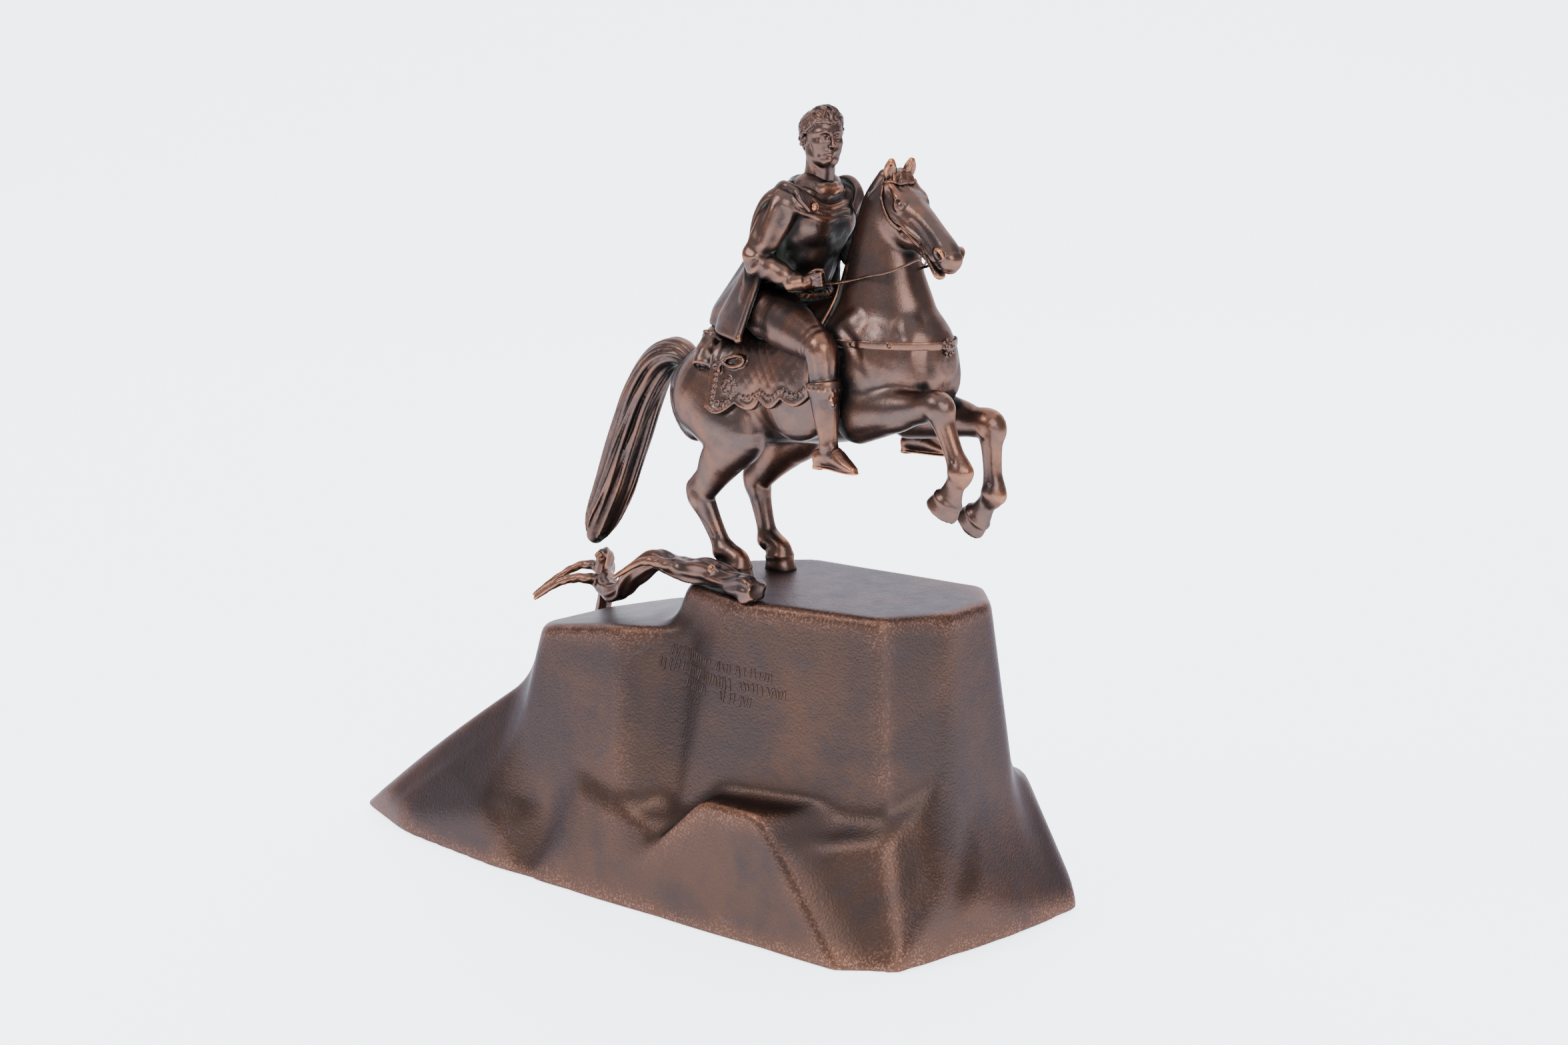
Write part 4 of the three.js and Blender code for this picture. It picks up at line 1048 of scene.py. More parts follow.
# Hands closed round the reins: fingers stacked, thumb on top.
def buildHands():
    hands = Volume((28, -22, 100), (48, 22, 118), riderShape["handCell"], 1.0)
    for joints, out in ((rightArm, -1), (leftArm, 1)):
        wrist, hand = (np.array(joint, float) for joint in joints[2:])
        ahead = unitVectors(hand - wrist)
        outward = np.cross(ahead, [0, 0, 1]) * -out
        outward = outward * math.copysign(1, outward[1] * out)
        above = np.cross(outward, ahead)
        above = above * math.copysign(1, above[2])
        heart = wrist + ahead * 5.2

        def put(a, o, u):
            return heart + ahead * a + outward * o + above * u

        hands.add(loft([[*put(-6.5, 0, 0), 2.1, 1.8], [*put(-3, 0.1, 0), 2.1, 1.7], [*put(-1, 0.5, 0), 1.6, 2.6],
                        [*put(1.4, 0.9, 0), 1.2, 2.7]], 28, 6, across=outward), 0)
        for n, size in enumerate((0.8, 0.84, 0.8, 0.7)):
            u = 2 - 1.28 * n
            path = [put(0.6, 1.2, u), put(2.6, 1.5, u), put(3.5, 0.3, u), put(2.9, -1, u), put(1.4, -1.5, u),
                    put(0.7, -0.8, u)]
            hands.add(tube(path, size, None, 14, 5, above), 0.12)
            hands.add(lump(put(2.5, 1.7, u), [size * 1.05] * 3, sides=12, rings=8), 0.2)
        thumb = [put(-2, -1.2, 1.2), put(0, -1.5, 2.5), put(1.9, -0.9, 3.2), put(3.3, 0.1, 3)]
        hands.add(tube(thumb, (1.2, 0.95, 0.85, 0.7), None, 16, 5, outward), 0.3)
    return hands


hands = buildHands()


# The rider's head faces +X in its own frame and is turned to the right. Hair starts at rings `hairRows` degrees
# from the crown and ends at the hairline, whose fall is given for azimuths from the front to the back.
headShape = {"centre": (30.5, 0, 156.2), "faceTurn": -24, "crown": (-0.34, 0, 1.0), "front": (1.0, 0, 0.34),
             "skullMiddle": (-1.2, 0, 1.2), "skull": 7.2, "hairRows": (2, 12, 23, 34, 45, 56, 67, 78, 89, 100, 112),
             "hairline": [(0, 30, 50, 70, 85, 100, 130, 180), (74, 74, 77, 86, 86, 108, 126, 134)]}
smooth = {"sides": 24, "rings": 14}  # how finely small lumps of the face are divided


def onRider(points):
    return turn(points, 0, headShape["faceTurn"]) + np.array(headShape["centre"])


# Directions from the skull's middle: cos fall along the crown, sin fall round it by azimuth.
def onSkull(azimuth, fall):
    crown, front = unitVectors(np.array(headShape["crown"])), unitVectors(np.array(headShape["front"]))
    around = front * np.cos(azimuth)[:, None] + np.array([0, 1.0, 0]) * np.sin(azimuth)[:, None]
    direction = crown * np.cos(fall)[:, None] + around * np.sin(fall)[:, None]
    return np.array(headShape["skullMiddle"]) + direction * headShape["skull"]


# Short waving locks that run from the crown to the hairline in overlapping rows.
def addHair(head):
    rng = np.random.default_rng(11)
    for row, start in enumerate(headShape["hairRows"]):
        count = int(9 + 25 * math.sin(math.radians(start)))
        for n in range(count):
            azimuth = 360 * (n + 0.5 * (row % 2) + rng.uniform(-0.15, 0.15)) / count
            limit = np.interp(abs((azimuth + 180) % 360 - 180), *headShape["hairline"])
            if start > limit - 6:
                continue
            length = min(24 + rng.uniform(-3, 4), limit + 4 - start)
            t = np.linspace(0, 1, 5)
            swing = 9 * math.sin(math.radians(3 * azimuth) + 1.9 * row) + rng.uniform(-3, 3)
            sway = swing * np.sin(t * math.pi * 1.3) / max(0.7, math.sin(math.radians(start + 14)))
            path = onSkull(np.radians(azimuth + sway), np.radians(start + length * t))
            path = head.settle(onRider(path), 0.1)
            path = path + head.slope(path) * (0.14 + 0.24 * np.sin(t * math.pi))[:, None]
            head.add(strand(path, rng.uniform(0.62, 0.8), head.slope(path[2:3])[0]), 0.16)


# Neck, skull and jaw, brows, nose, chin and lips, then on each side cheek, eye with its lids, nostril and ear.
def buildRiderHead():
    head = Volume((19, -11, 135), (43, 11, 168), riderShape["headCell"], 2.0)

    def add(form, blend):
        head.add((onRider(form[0]), form[1]), blend)

    def cut(form, blend):
        head.cut((onRider(form[0]), form[1]), blend)

    def bow(path, girths, across=(0, 0, 1), sides=12):
        return tube(path, girths, None, sides, 6, across)

    head.add(loft([[28, 0, 136, 6.4, 6.4], [28.6, 0, 141, 5.5, 5.6], [29.4, 0, 146, 5, 5.3],
                   [29.6, 0, 151, 5, 5.3]], 48, 8), 0)
    add(lump([-0.8, 0, 1.8], [7.5, 6.2, 7.2], sides=56, rings=36), 1.5)
    add(loft([[2, 0, 6, 5.3, 4.7], [2.2, 0, 1, 5.4, 5], [2.5, 0, -4, 4.7, 4.6], [3.2, 0, -7.2, 2.9, 3.2]], 56, 10,
             square=0.2), 2)
    add(bow([(4.4, -4.9, 1.7), (6.6, -2.6, 2.3), (7.1, 0, 1.9), (6.6, 2.6, 2.3), (4.4, 4.9, 1.7)],
            (0.6, 0.85, 0.6, 0.85, 0.6), sides=16), 1.1)
    add(bow([(6.7, 0, 2.2), (7.7, 0, 0.6), (8.4, 0, -1), (8.9, 0, -2.1)], (0.72, 0.62, 0.72, 0.8), (0, 1, 0), 16), 0.8)
    add(lump([8.5, 0, -2.3], [1.1, 0.95, 0.85], **smooth), 0.5)
    add(lump([3, 0, -7.2], [3.2, 2.6, 1.4], 10), 1.4)
    add(lump([6, 0, -7], [1.35, 1.7, 1.3], **smooth), 1)
    add(lump([6.4, 0, -4.3], [1.4, 2.1, 1.2], **smooth), 0.9)
    for side in (-1, 1):
        add(lump([4.3, side * 3.7, -1.7], [2, 1.5, 1.6], **smooth), 1.6)
        add(lump([4.2, side * 2.9, -4.4], [2.2, 1.7, 2.2], **smooth), 1.6)
        mirror = np.array([1, side, 1])
        add(bow(mirror * [(-0.4, 5.2, -3), (0.9, 4.6, -6), (4.6, 2.4, -7.7)], (1.3, 1.3, 1.2), (0, 1, 0), 16), 1.6)
        cut(lump([7.5, side * 2.6, 0.55], [1.5, 1.75, 1.15], **smooth), 0.9)
        add(lump([5.55, side * 2.5, 0.45], [1.3, 1.35, 1.25], sides=24, rings=16), 0.15)
        add(bow(mirror * [(6.55, 1.2, 0.3), (6.95, 1.9, 1.02), (6.85, 2.8, 1.12), (6.2, 3.8, 0.35)],
                (0.2, 0.3, 0.3, 0.2), sides=10), 0.18)
        add(bow(mirror * [(6.55, 1.25, 0.2), (6.8, 2.1, -0.42), (6.6, 3, -0.45), (6.15, 3.7, 0.1)],
                (0.16, 0.24, 0.24, 0.16), sides=10), 0.2)
        add(lump([7.75, side * 1.05, -2.55], [0.9, 0.55, 0.6], sides=18, rings=10), 0.35)
        cut(lump([8.2, side * 0.55, -3.15], [0.45, 0.28, 0.3], sides=12, rings=8), 0.15)
        add(lump([-0.5, side * 6, -0.9], [1.35, 0.75, 2.1], -8, **smooth), 0.4)
        cut(lump([-0.2, side * 6.7, -0.7], [0.65, 0.5, 1.2], -8, sides=16, rings=10), 0.25)
        # the muscle from behind the ear down to the pit of the throat
        behindEar = onRider(np.array([-1.5, side * 4.6, -5]))
        head.add(bow([behindEar, (29.6 + 1.2, side * 3.8, 146), (31.2, side * 1.7, 139.5)], (1, 1.1, 0.8), (0, 1, 0),
                     16), 1.1)
    add(bow([(6.6, -1.9, -4.95), (7.3, -0.8, -4.62), (7.4, 0, -4.7), (7.3, 0.8, -4.62), (6.6, 1.9, -4.95)],
            (0.2, 0.42, 0.36, 0.42, 0.2)), 0.3)
    add(bow([(6.5, -1.7, -5.3), (7.15, 0, -5.65), (6.5, 1.7, -5.3)], (0.25, 0.52, 0.25)), 0.35)
    cut(bow([(6.5, -2.1, -5.1), (7.6, -0.7, -5.12), (7.7, 0, -5.18), (7.6, 0.7, -5.12), (6.5, 2.1, -5.1)],
            (0.1, 0.13, 0.13, 0.13, 0.1), sides=8), 0.12)
    add(lump([-2, 0, 3.2], [7.3, 6.7, 5.7], sides=48, rings=30), 0.5)  # the hair's close cap
    add(lump([-4.2, 0, -1.4], [3.9, 5.1, 4.8], sides=40, rings=24), 0.8)
    addHair(head)
    return head


riderHead = buildRiderHead()
report("rider")


# The mantle hangs from the shoulders over the horse's back: P(u, v) runs across with u and down with v. x takes
# the sag towards the back, upright folds that deepen downwards, a fine ripple and the curl of the hem, y widens
# from half `top` to half `top + flare`, and z falls by `fall`, more at the sides.
mantleShape = {"cell": 0.54, "folds": 5, "foldDepth": 1.5, "thickness": 1.9, "hem": 1.15, "top": 17, "flare": 8,
               "fall": 48, "sag": 40, "curl": 4.5, "collarFolds": 6}


def mantlePoint(u, v):
    spread = mantleShape["top"] + mantleShape["flare"] * v + 0.9 * np.sin(7 * v + 1) * np.abs(2 * u - 1) ** 5
    wrap = 1 - np.abs(2 * u - 1) ** 2.4
    back = -5 - mantleShape["sag"] * v ** 1.15
    fold = mantleShape["foldDepth"] * v * np.cos(2 * math.pi * mantleShape["folds"] * u)
    fine = 0.35 * np.sin(math.pi * v) ** 0.5 * np.sin(2 * math.pi * (12.3 * u + 0.5 * np.sin(3 * v + 4 * u)))
    swag = 0.5 * (1 - v) ** 2 * np.sin(2 * math.pi * (13 * u + 0.4 * v))
    curl = mantleShape["curl"] * np.clip((v - 0.86) / 0.14, 0, 1) ** 2 * wrap
    x = 27 + back * (0.3 + 0.7 * wrap) + fold + fine + swag + curl
    y = (u - 0.5) * 2 * spread
    z = 138 - mantleShape["fall"] * v + 3 * wrap * (1 - v) - 3 * (1 - wrap) * v
    return np.stack([x, y, z], -1)


# A thick sheet: both faces of P(u, v), half a thickness along its normal, and a wall round the edge.
def sheet(surface, thickness, columns, rows):
    u, v = np.meshgrid(np.linspace(0, 1, columns + 1), np.linspace(0, 1, rows + 1))
    points, nudge = surface(u, v), 0.004
    alongU = surface(np.minimum(u + nudge, 1), v) - surface(np.maximum(u - nudge, 0), v)
    alongV = surface(u, np.minimum(v + nudge, 1)) - surface(u, np.maximum(v - nudge, 0))
    half = unitVectors(np.cross(alongU, alongV)) * thickness / 2
    layer = points[..., 0].size
    both = np.concatenate([(points - half).reshape(-1, 3), (points + half).reshape(-1, 3)])
    n = np.arange(layer).reshape(rows + 1, columns + 1)
    a, b, c, d = n[:-1, :-1].ravel(), n[:-1, 1:].ravel(), n[1:, 1:].ravel(), n[1:, :-1].ravel()
    rim = np.concatenate([n[0], n[1:, -1], n[-1, -2::-1], n[-2::-1, 0]])
    first, second = rim[:-1], rim[1:]
    quads = np.concatenate([np.stack([a, d, c, b], -1), np.stack([a, b, c, d], -1) + layer,
                            np.stack([first, second, second + layer, first + layer], -1)])
    return both, [quads, np.zeros((0, 3), np.int64)]


def buildMantle():
    mantle = Volume((-24, -31, 82), (40, 31, 146), mantleShape["cell"], 2.0)
    mantle.add(sheet(mantlePoint, mantleShape["thickness"], 220, 120), 0)
    hem = mantleShape["hem"]
    steps = np.linspace(0, 1, 41)
    ones = np.ones(41)
    edges = [mantlePoint(steps, ones * 0.985), mantlePoint(ones * 0.006, steps), mantlePoint(ones * 0.994, steps)]
    for path, girth in zip(edges, (hem, hem * 0.72, hem * 0.72)):
        mantle.add(tube(path, girth, girth * 1.1, 16, 3, (1, 0, 0.2)), 0.8)
    # gathered cloth round the back of the neck and over the shoulders, lying on the rider
    rng = np.random.default_rng(4)
    for n in range(mantleShape["collarFolds"]):
        drop, out = 1.5 * (n % 3), 1.1 * (n % 3) / 2
        path = [(33.6, -11.6, 134 - 0.2 * drop), (31.6, -13.8 - 0.5 * out, 136.4 - drop * 0.5),
                (27.4, -15.4 - out, 140 - drop * 0.8), (22 - out, -10.4, 141.4 - drop), (20.2 - out, 0, 142 - drop),
                (22 - out, 10.4, 141.4 - drop), (27.4, 15.4 + out, 141 - drop * 0.3),
                (33, 13 + out, 136.6 - drop * 0.6), (35.4, 9.4, 132.6 - drop)]
        path = rowsAt(np.array(path) + rng.uniform(-0.2, 0.2, (9, 3)), np.linspace(0, 8, 17))
        path = rider.settle(path, 0.3 + 0.2 * (n % 3))
        girths = 1.3 - 1.0 * np.abs(np.linspace(-1, 1, 17)) ** 3
        mantle.add(tube(path, girths, girths * 0.85, 16, 4, (0.1, 0.1, 1)), 1.1)
    for side in (-1, 1):  # the cloth over the back of the shoulder, thinning out into the sheet
        mantle.add(loft([[29, side * 14.6, 137, 4, 2.2], [24, side * 16.6, 137, 5.4, 2.8],
                         [19.4, side * 17, 131, 5.6, 2.6], [16.6, side * 17.4, 122, 5, 2],
                         [14.4, side * 18.4, 111, 4.2, 1.2], [12.6, side * 19, 101, 3.2, 0.8]],
                        32, 8, across=(0, 1, 0.2)), 2)
    return mantle


mantle = buildMantle()


# Saddle cloth with a scalloped hem and a rolled blanket behind the rider. The cloth's lower edge runs from `rear`
# over `length` mm, rising by `rise`, in scallops of height `scallop`.
trappings = {"cell": 0.5, "clothThickness": 1.25, "hem": 2.3, "rear": -3, "length": 47, "low": 62.4, "rise": 8,
             "scallops": 4, "scallop": 3, "lozenge": 4.6, "beadGap": 2.05, "bead": 0.74, "petals": 8, "strap": 4.62}
rollStations = [
    [-6.5, -21, 76, 4, 4], [-7.2, -17, 81.5, 4.3, 4.3], [-8.2, -9, 86.6, 4.5, 4.5], [-8.5, 0, 88.2, 4.5, 4.5],
    [-8.2, 9, 86.6, 4.5, 4.5], [-7.2, 17, 81.5, 4.3, 4.3], [-6.5, 21, 76, 4, 4]]


# Signed distance to a closed outline in the plane, inside below 0.
def insideOutline(outline, x, z):
    a, b = np.asarray(outline, float), np.roll(np.asarray(outline, float), -1, 0)
    nearest = np.full(np.broadcast(x, z).shape, 1e9)
    crossings = np.zeros(nearest.shape, int)
    for (ax, az), (bx, bz) in zip(a, b):
        share = np.clip(((x - ax) * (bx - ax) + (z - az) * (bz - az)) / ((bx - ax) ** 2 + (bz - az) ** 2), 0, 1)
        nearest = np.minimum(nearest, (x - ax - share * (bx - ax)) ** 2 + (z - az - share * (bz - az)) ** 2)
        if az != bz:
            crossings += ((az > z) != (bz > z)) & (x < (bx - ax) * (z - az) / (bz - az) + ax)
    return np.where(crossings % 2, -1, 1) * np.sqrt(nearest)


# The cloth's lower edge at a share of its length: z = low + rise s - scallop |sin(scallops pi s)|.
def clothEdge(share, scallop):
    return (trappings["rear"] + trappings["length"] * share, trappings["low"] + trappings["rise"] * share
            - scallop * np.abs(np.sin(trappings["scallops"] * math.pi * share)))


def clothOutline():
    return [*zip(*clothEdge(np.linspace(0, 1, 97), trappings["scallop"])), (46, 112), (-3, 102)]


# 0 below low, 1 above high, straight between.
def ramp(value, low, high):
    return np.clip((value - low) / (high - low), 0, 1)


# A row of beads along the hem and up the rear edge, and a rosette in the rear corner.
def addTrimmings(saddle, side):
    thickness = trappings["clothThickness"]
    x, z = clothEdge(np.linspace(0.065, 1, 200), 2.6)
    row = np.stack([x, z + 3.7], -1)
    row = np.concatenate([np.stack([np.full(60, row[0, 0]), np.linspace(75, row[0, 1], 60)], -1), row])
    run = np.concatenate([[0], np.cumsum(np.linalg.norm(np.diff(row, axis=0), axis=1))])
    steps = np.arange(0, run[-1], trappings["beadGap"])
    at = np.stack([np.interp(steps, run, row[:, 0]), np.full(len(steps), side * 24.5),
                   np.interp(steps, run, row[:, 1])], -1)
    for bead in horse.settle(at, thickness + 0.35):
        saddle.add(lump(bead, [trappings["bead"]] * 3, sides=12, rings=8), 0.05)
    heart = horse.settle(np.array([[6.4, side * 24, 70.6]]), thickness + 0.4)[0]
    saddle.add(lump(heart, [1.1, 0.8, 1.1], sides=16, rings=10), 0.2)
    for n in range(trappings["petals"]):
        turned = 2 * math.pi * n / trappings["petals"]
        petal = heart + 2.3 * np.array([math.cos(turned), 0, math.sin(turned)])
        petal = horse.settle(petal[None], thickness + 0.2)[0]
        saddle.add(lump(petal, [1.15, 0.7, 0.72], -360 / trappings["petals"] * n, sides=14, rings=10), 0.2)


# The blanket: a roll with slanting wrinkles, a spiral r = 0.3 t cut into each end, and two straps with buckles.
def addBlanket(saddle):
    def wrinkles(u, v):
        waves = 0.2 * np.sin(2 * math.pi * (u * 2 + 14 * v)) + 0.16 * np.sin(2 * math.pi * (5 * u - 6 * v))
        return waves * np.sin(math.pi * v) ** 0.5

    saddle.add(loft(rollStations, 48, 10, across=(1, 0, 0), roundEnds=(False, False), relief=wrinkles), 0.35)
    for end, inner in ((rollStations[0], rollStations[1]), (rollStations[-1], rollStations[-2])):
        axis = unitVectors(np.array(end[:3]) - np.array(inner[:3]))
        tip = np.array(end[:3]) + axis * 0.1
        saddle.add(loft([[*(tip - axis * 0.4), 3.95, 3.95], [*(tip + axis * 0.5), 3.6, 3.6]], 40, 4,
                        across=(1, 0, 0), roundEnds=(False, False)), 0.3)
        tip = tip + axis * 0.55
        aside = unitVectors(np.cross(axis, [1, 0, 0]))
        t = np.linspace(0, 3.9 * math.pi, 46)
        spiral = tip + np.outer(np.cos(t) * t * 0.3, [1, 0, 0]) + np.outer(np.sin(t) * t * 0.3, aside)
        saddle.cut(tube(spiral, 0.7, 0.5, 12, 3, axis), 0.25)
    for y in (-13.5, 13.5):
        t = np.linspace(0, 2 * math.pi, 25)
        share = np.interp(y, [row[1] for row in rollStations], range(7))
        at = rowsAt(rollStations, np.array([share]))[0, :3]
        along = unitVectors(rowsAt(rollStations, np.array([share + 0.1]))[0, :3] - at)
        up = np.cross([1, 0, 0], along)
        hoop = at + trappings["strap"] * (np.outer(np.cos(t), [1, 0, 0]) + np.outer(np.sin(t), up))
        saddle.add(tube(hoop, 1.15, 0.42, 14, 3, along), 0.2)
        buckle = at + 4.75 * (np.array([-0.35, 0, 0]) + up * 0.94 * math.copysign(1, up[2]))
        saddle.add(lump(buckle, [1.5, 1.3, 0.7], sides=16, rings=10), 0.2)


# The cloth is the horse's own distance less a thickness, which a lozenge quilting |sin p sin q|, a raised hem and
# a fringe of fine waves add to, kept inside its outline.
def buildSaddle():
    saddle = Volume((-16, -28, 54), (52, 28, 108), trappings["cell"], 2.5)
    x, z = ((np.arange(saddle.shape[axis]) + saddle.start[axis]) * saddle.cell for axis in (0, 2))
    back = saddle.fetch(horse)
    inside = -insideOutline(clothOutline(), x[:, None], z[None, :])[:, None, :].astype(np.float32)
    hem = 0.5 * (1 - ramp(inside, trappings["hem"], trappings["hem"] + 0.6))
    hem = hem + 0.22 * ramp(inside, 0, 0.5) * (1 - ramp(inside, 0.9, 1.3))
    x, z = x[:, None, None], z[None, None, :]
    p, q = (x + 0.9 * z) / trappings["lozenge"], (x - 0.9 * z) / trappings["lozenge"]
    quilt = 0.15 * (np.abs(np.sin(math.pi * p) * np.sin(math.pi * q)) ** 0.5) * ramp(inside, 5.4, 6)
    fringe = 0.18 * np.sin(2 * math.pi * x / 0.95) * (1 - ramp(inside, 1.4, 1.9))
    cloth = back - (trappings["clothThickness"] + hem + quilt + fringe).astype(np.float32)
    cloth = -meltJoin(-cloth, inside, 0.5)
    underside = -back - 1.2
    saddle.values = np.clip(np.maximum(cloth, underside), -saddle.band, saddle.band).astype(np.float32)
    for side in (-1, 1):
        addTrimmings(saddle, side)
    addBlanket(saddle)
    # a loose loop of strap behind the near thigh
    loop = [(1.8, -22, 75.4), (1.4, -22, 77.6), (3, -22, 80), (6.4, -22, 82.2), (10, -22, 82.4), (11.6, -22.6, 80.4),
            (10, -23, 78.2), (6.4, -23, 77.9), (2.6, -23, 78.8), (0.6, -23, 78.6), (-0.8, -22.4, 77.2)]
    loop = horse.settle(rowsAt(loop, np.linspace(0, 10, 31)), trappings["clothThickness"] + 0.9)
    saddle.add(tube(loop, 0.95, 0.75, 14, 4), 0.2)
    saddle.values = np.maximum(saddle.values, underside)
    return saddle


saddle = buildSaddle()
report("mantle and saddle cloth")


# Straps: flat bands laid on the horse, with studs.
tackShape = {"cell": 0.36, "strapWidth": 1.2, "strapThickness": 0.36, "bitRing": 1.7, "rein": (0.62, 0.34),
             "chest": [(44, -22, 88), (52, -21, 89.5), (62, -20, 90), (72, -17, 90), (80, -11, 89.5), (84, -4, 89),
                       (84.6, 0, 88.8)]}


# The rein runs from the bit ring back along the neck to the hand, and lies on the neck where it comes near.
def reinPath(start, finish, side):
    middle = [start, start * 0.72 + finish * 0.28 + [0, side * 1.2, -1.8]]
    for share in (0.5, 0.7, 0.85):
        slack = np.array([0, side * 3.5 * (1 - share), -2.2 + 1.5 * share])
        middle.append(start * (1 - share) + finish * share + slack)
    middle.append(finish)
    path = rowsAt(middle, np.linspace(0, 5, 41))
    near = np.clip((2.2 - horse.sample(path)) / 1.6, 0, 1)[:, None]
    return path * (1 - near) + horse.settle(path, 0.35) * near


def buildTack():
    tack = Volume((36, -25, 66), (106, 25, 158), tackShape["cell"], 1.6)

    def band(base, path, across, widen):
        path = rowsAt(path, np.linspace(0, len(path) - 1, 12 * (len(path) - 1) + 1))
        width = tackShape["strapWidth"] * widen
        tack.add(tube(base.settle(path, 0.25), width, tackShape["strapThickness"], 16, 2, across), 0.12)

    def stud(base, at, size):
        at = base.settle(np.array([at], float), 0.6)[0]
        tack.add(lump(at, [size, size, size], sides=16, rings=10), 0.15)

    near = tackShape["chest"]
    band(horse, near + [(x, -y, z) for x, y, z in reversed(near[:-1])], (0.1, 0, 1), 1.35)
    for x, y, z in ((60, 20, 90), (74, 16, 90)):
        for side in (-1, 1):
            stud(horse, (x, side * y, z), 0.8)
    stud(horse, (86, 0, 88.8), 1.7)
    for n in range(8):
        stud(horse, (86, 2.4 * math.cos(n * math.pi / 4), 88.8 + 2.4 * math.sin(n * math.pi / 4)), 0.8)
    for side in (-1, 1):
        cheek = onHead([(-3.4, side * 1.6, 5), (-1.4, side * 5.4, 2.4), (3.6, side * 7.2, -2), (12, side * 7.4, -5.4),
                        (22, side * 6.2, -5.6), (31.6, side * 5.2, -5.8)])
        band(horseHead, cheek, onHead([0.55, 0, 1.0]) - headAt, 0.72)
        brow = onHead([(-0.8, side * 6.2, 2), (2.4, side * 5.2, 4.2), (4.6, side * 2.8, 5.6), (5.2, 0, 6)])
        band(horseHead, brow, onHead([1.0, 0, 0]) - headAt, 0.55)
        stud(horseHead, onHead([(3.2, side * 7.2, -1.2)])[0], 0.75)
        t = np.linspace(0, 2 * math.pi, 21)
        centre = np.array([33.6, side * 5.3, -6.6])  # the corner of the mouth
        hoop = centre + tackShape["bitRing"] * np.stack([np.cos(t), 0 * t + 0.12 * side, np.sin(t)], -1)
        tack.add(tube(onHead(hoop), 0.42, None, 12, 3, (0, 1, 0.03)), 0.1)
        start = onHead([centre + np.array([-1.6, side * 0.5, -0.6])])[0]
        finish = np.array((rightArm if side < 0 else leftArm)[3], float) + [1.6, 0, -1.4]
        tack.add(tube(reinPath(start, finish, side), *tackShape["rein"], 12, 2, (0, 0.15, 1)), 0.12)
    return tack


tack = buildTack()


# The fallen bough, in the plinth's own millimetres: knots are [x, y, z, girth], the path [x, y, z] and the twigs'
# stations [x, y, z, half width, half depth].
boughShape = {"cell": 0.6, "girth": 4.6, "gap": 0.35, "barkDepth": 0.5, "splinters": 9,
              "knots": [(50, -31.6, 121.6, 2.2), (12, -21.4, 119.4, 2), (-13, -20.6, 105.4, 1.9),
                        (-33, -4.6, 111.4, 1.9)]}
boughPath = [
    [70, -35, 117.5], [57, -30.5, 118], [44, -26.5, 119.2], [30, -26.5, 118], [17, -24.5, 119.5], [6, -25.5, 113],
    [-5, -22, 104.5], [-17, -16.5, 103], [-27, -8, 105], [-36, 1, 109.6], [-44, 9, 106.5], [-51, 16, 97], [-58, 22, 85],
    [-67, 26, 74]]
twigs = [
    [[33, -26.5, 118, 2.6, 2.6], [25, -32, 120.5, 2.1, 2.1], [17, -34, 120, 1.5, 1.5], [8, -38, 114, 0.9, 0.9]],
    [[-22, -12, 104, 2.4, 2.4], [-28, -20, 106, 1.9, 1.9], [-34, -25, 104, 1.4, 1.4], [-42, -29, 98, 0.9, 0.9]],
    [[-47, 12, 102, 2.2, 2.2], [-55, 8, 103, 1.7, 1.7], [-62, 1, 98, 1.3, 1.3], [-71, -2, 91, 0.8, 0.8]]]


# Long wavering ridges, deepest on the thick part, crossed by low knots.
def barkRelief(phase):
    def relief(u, v):
        a = 2 * math.pi * u
        ridges = np.sin(7 * a + 5 * np.sin(16 * v + phase[0]) + phase[1]) + 0.7 * np.sin(4 * a - 22 * v + phase[2])
        knots = np.sin(61 * v + 2 * a + phase[3]) * np.sin(23 * v - a + phase[4])
        return boughShape["barkDepth"] * (ridges * 0.7 + 0.9 * knots) * (1 - 0.45 * v) - 0.2

    return relief


def twigRelief(u, v):
    waves = 0.16 * np.sin(2 * math.pi * (4 * u + 5 * v)) + 0.2 * np.sin(2 * math.pi * (7 * v + u))
    return waves * (1.1 - v)


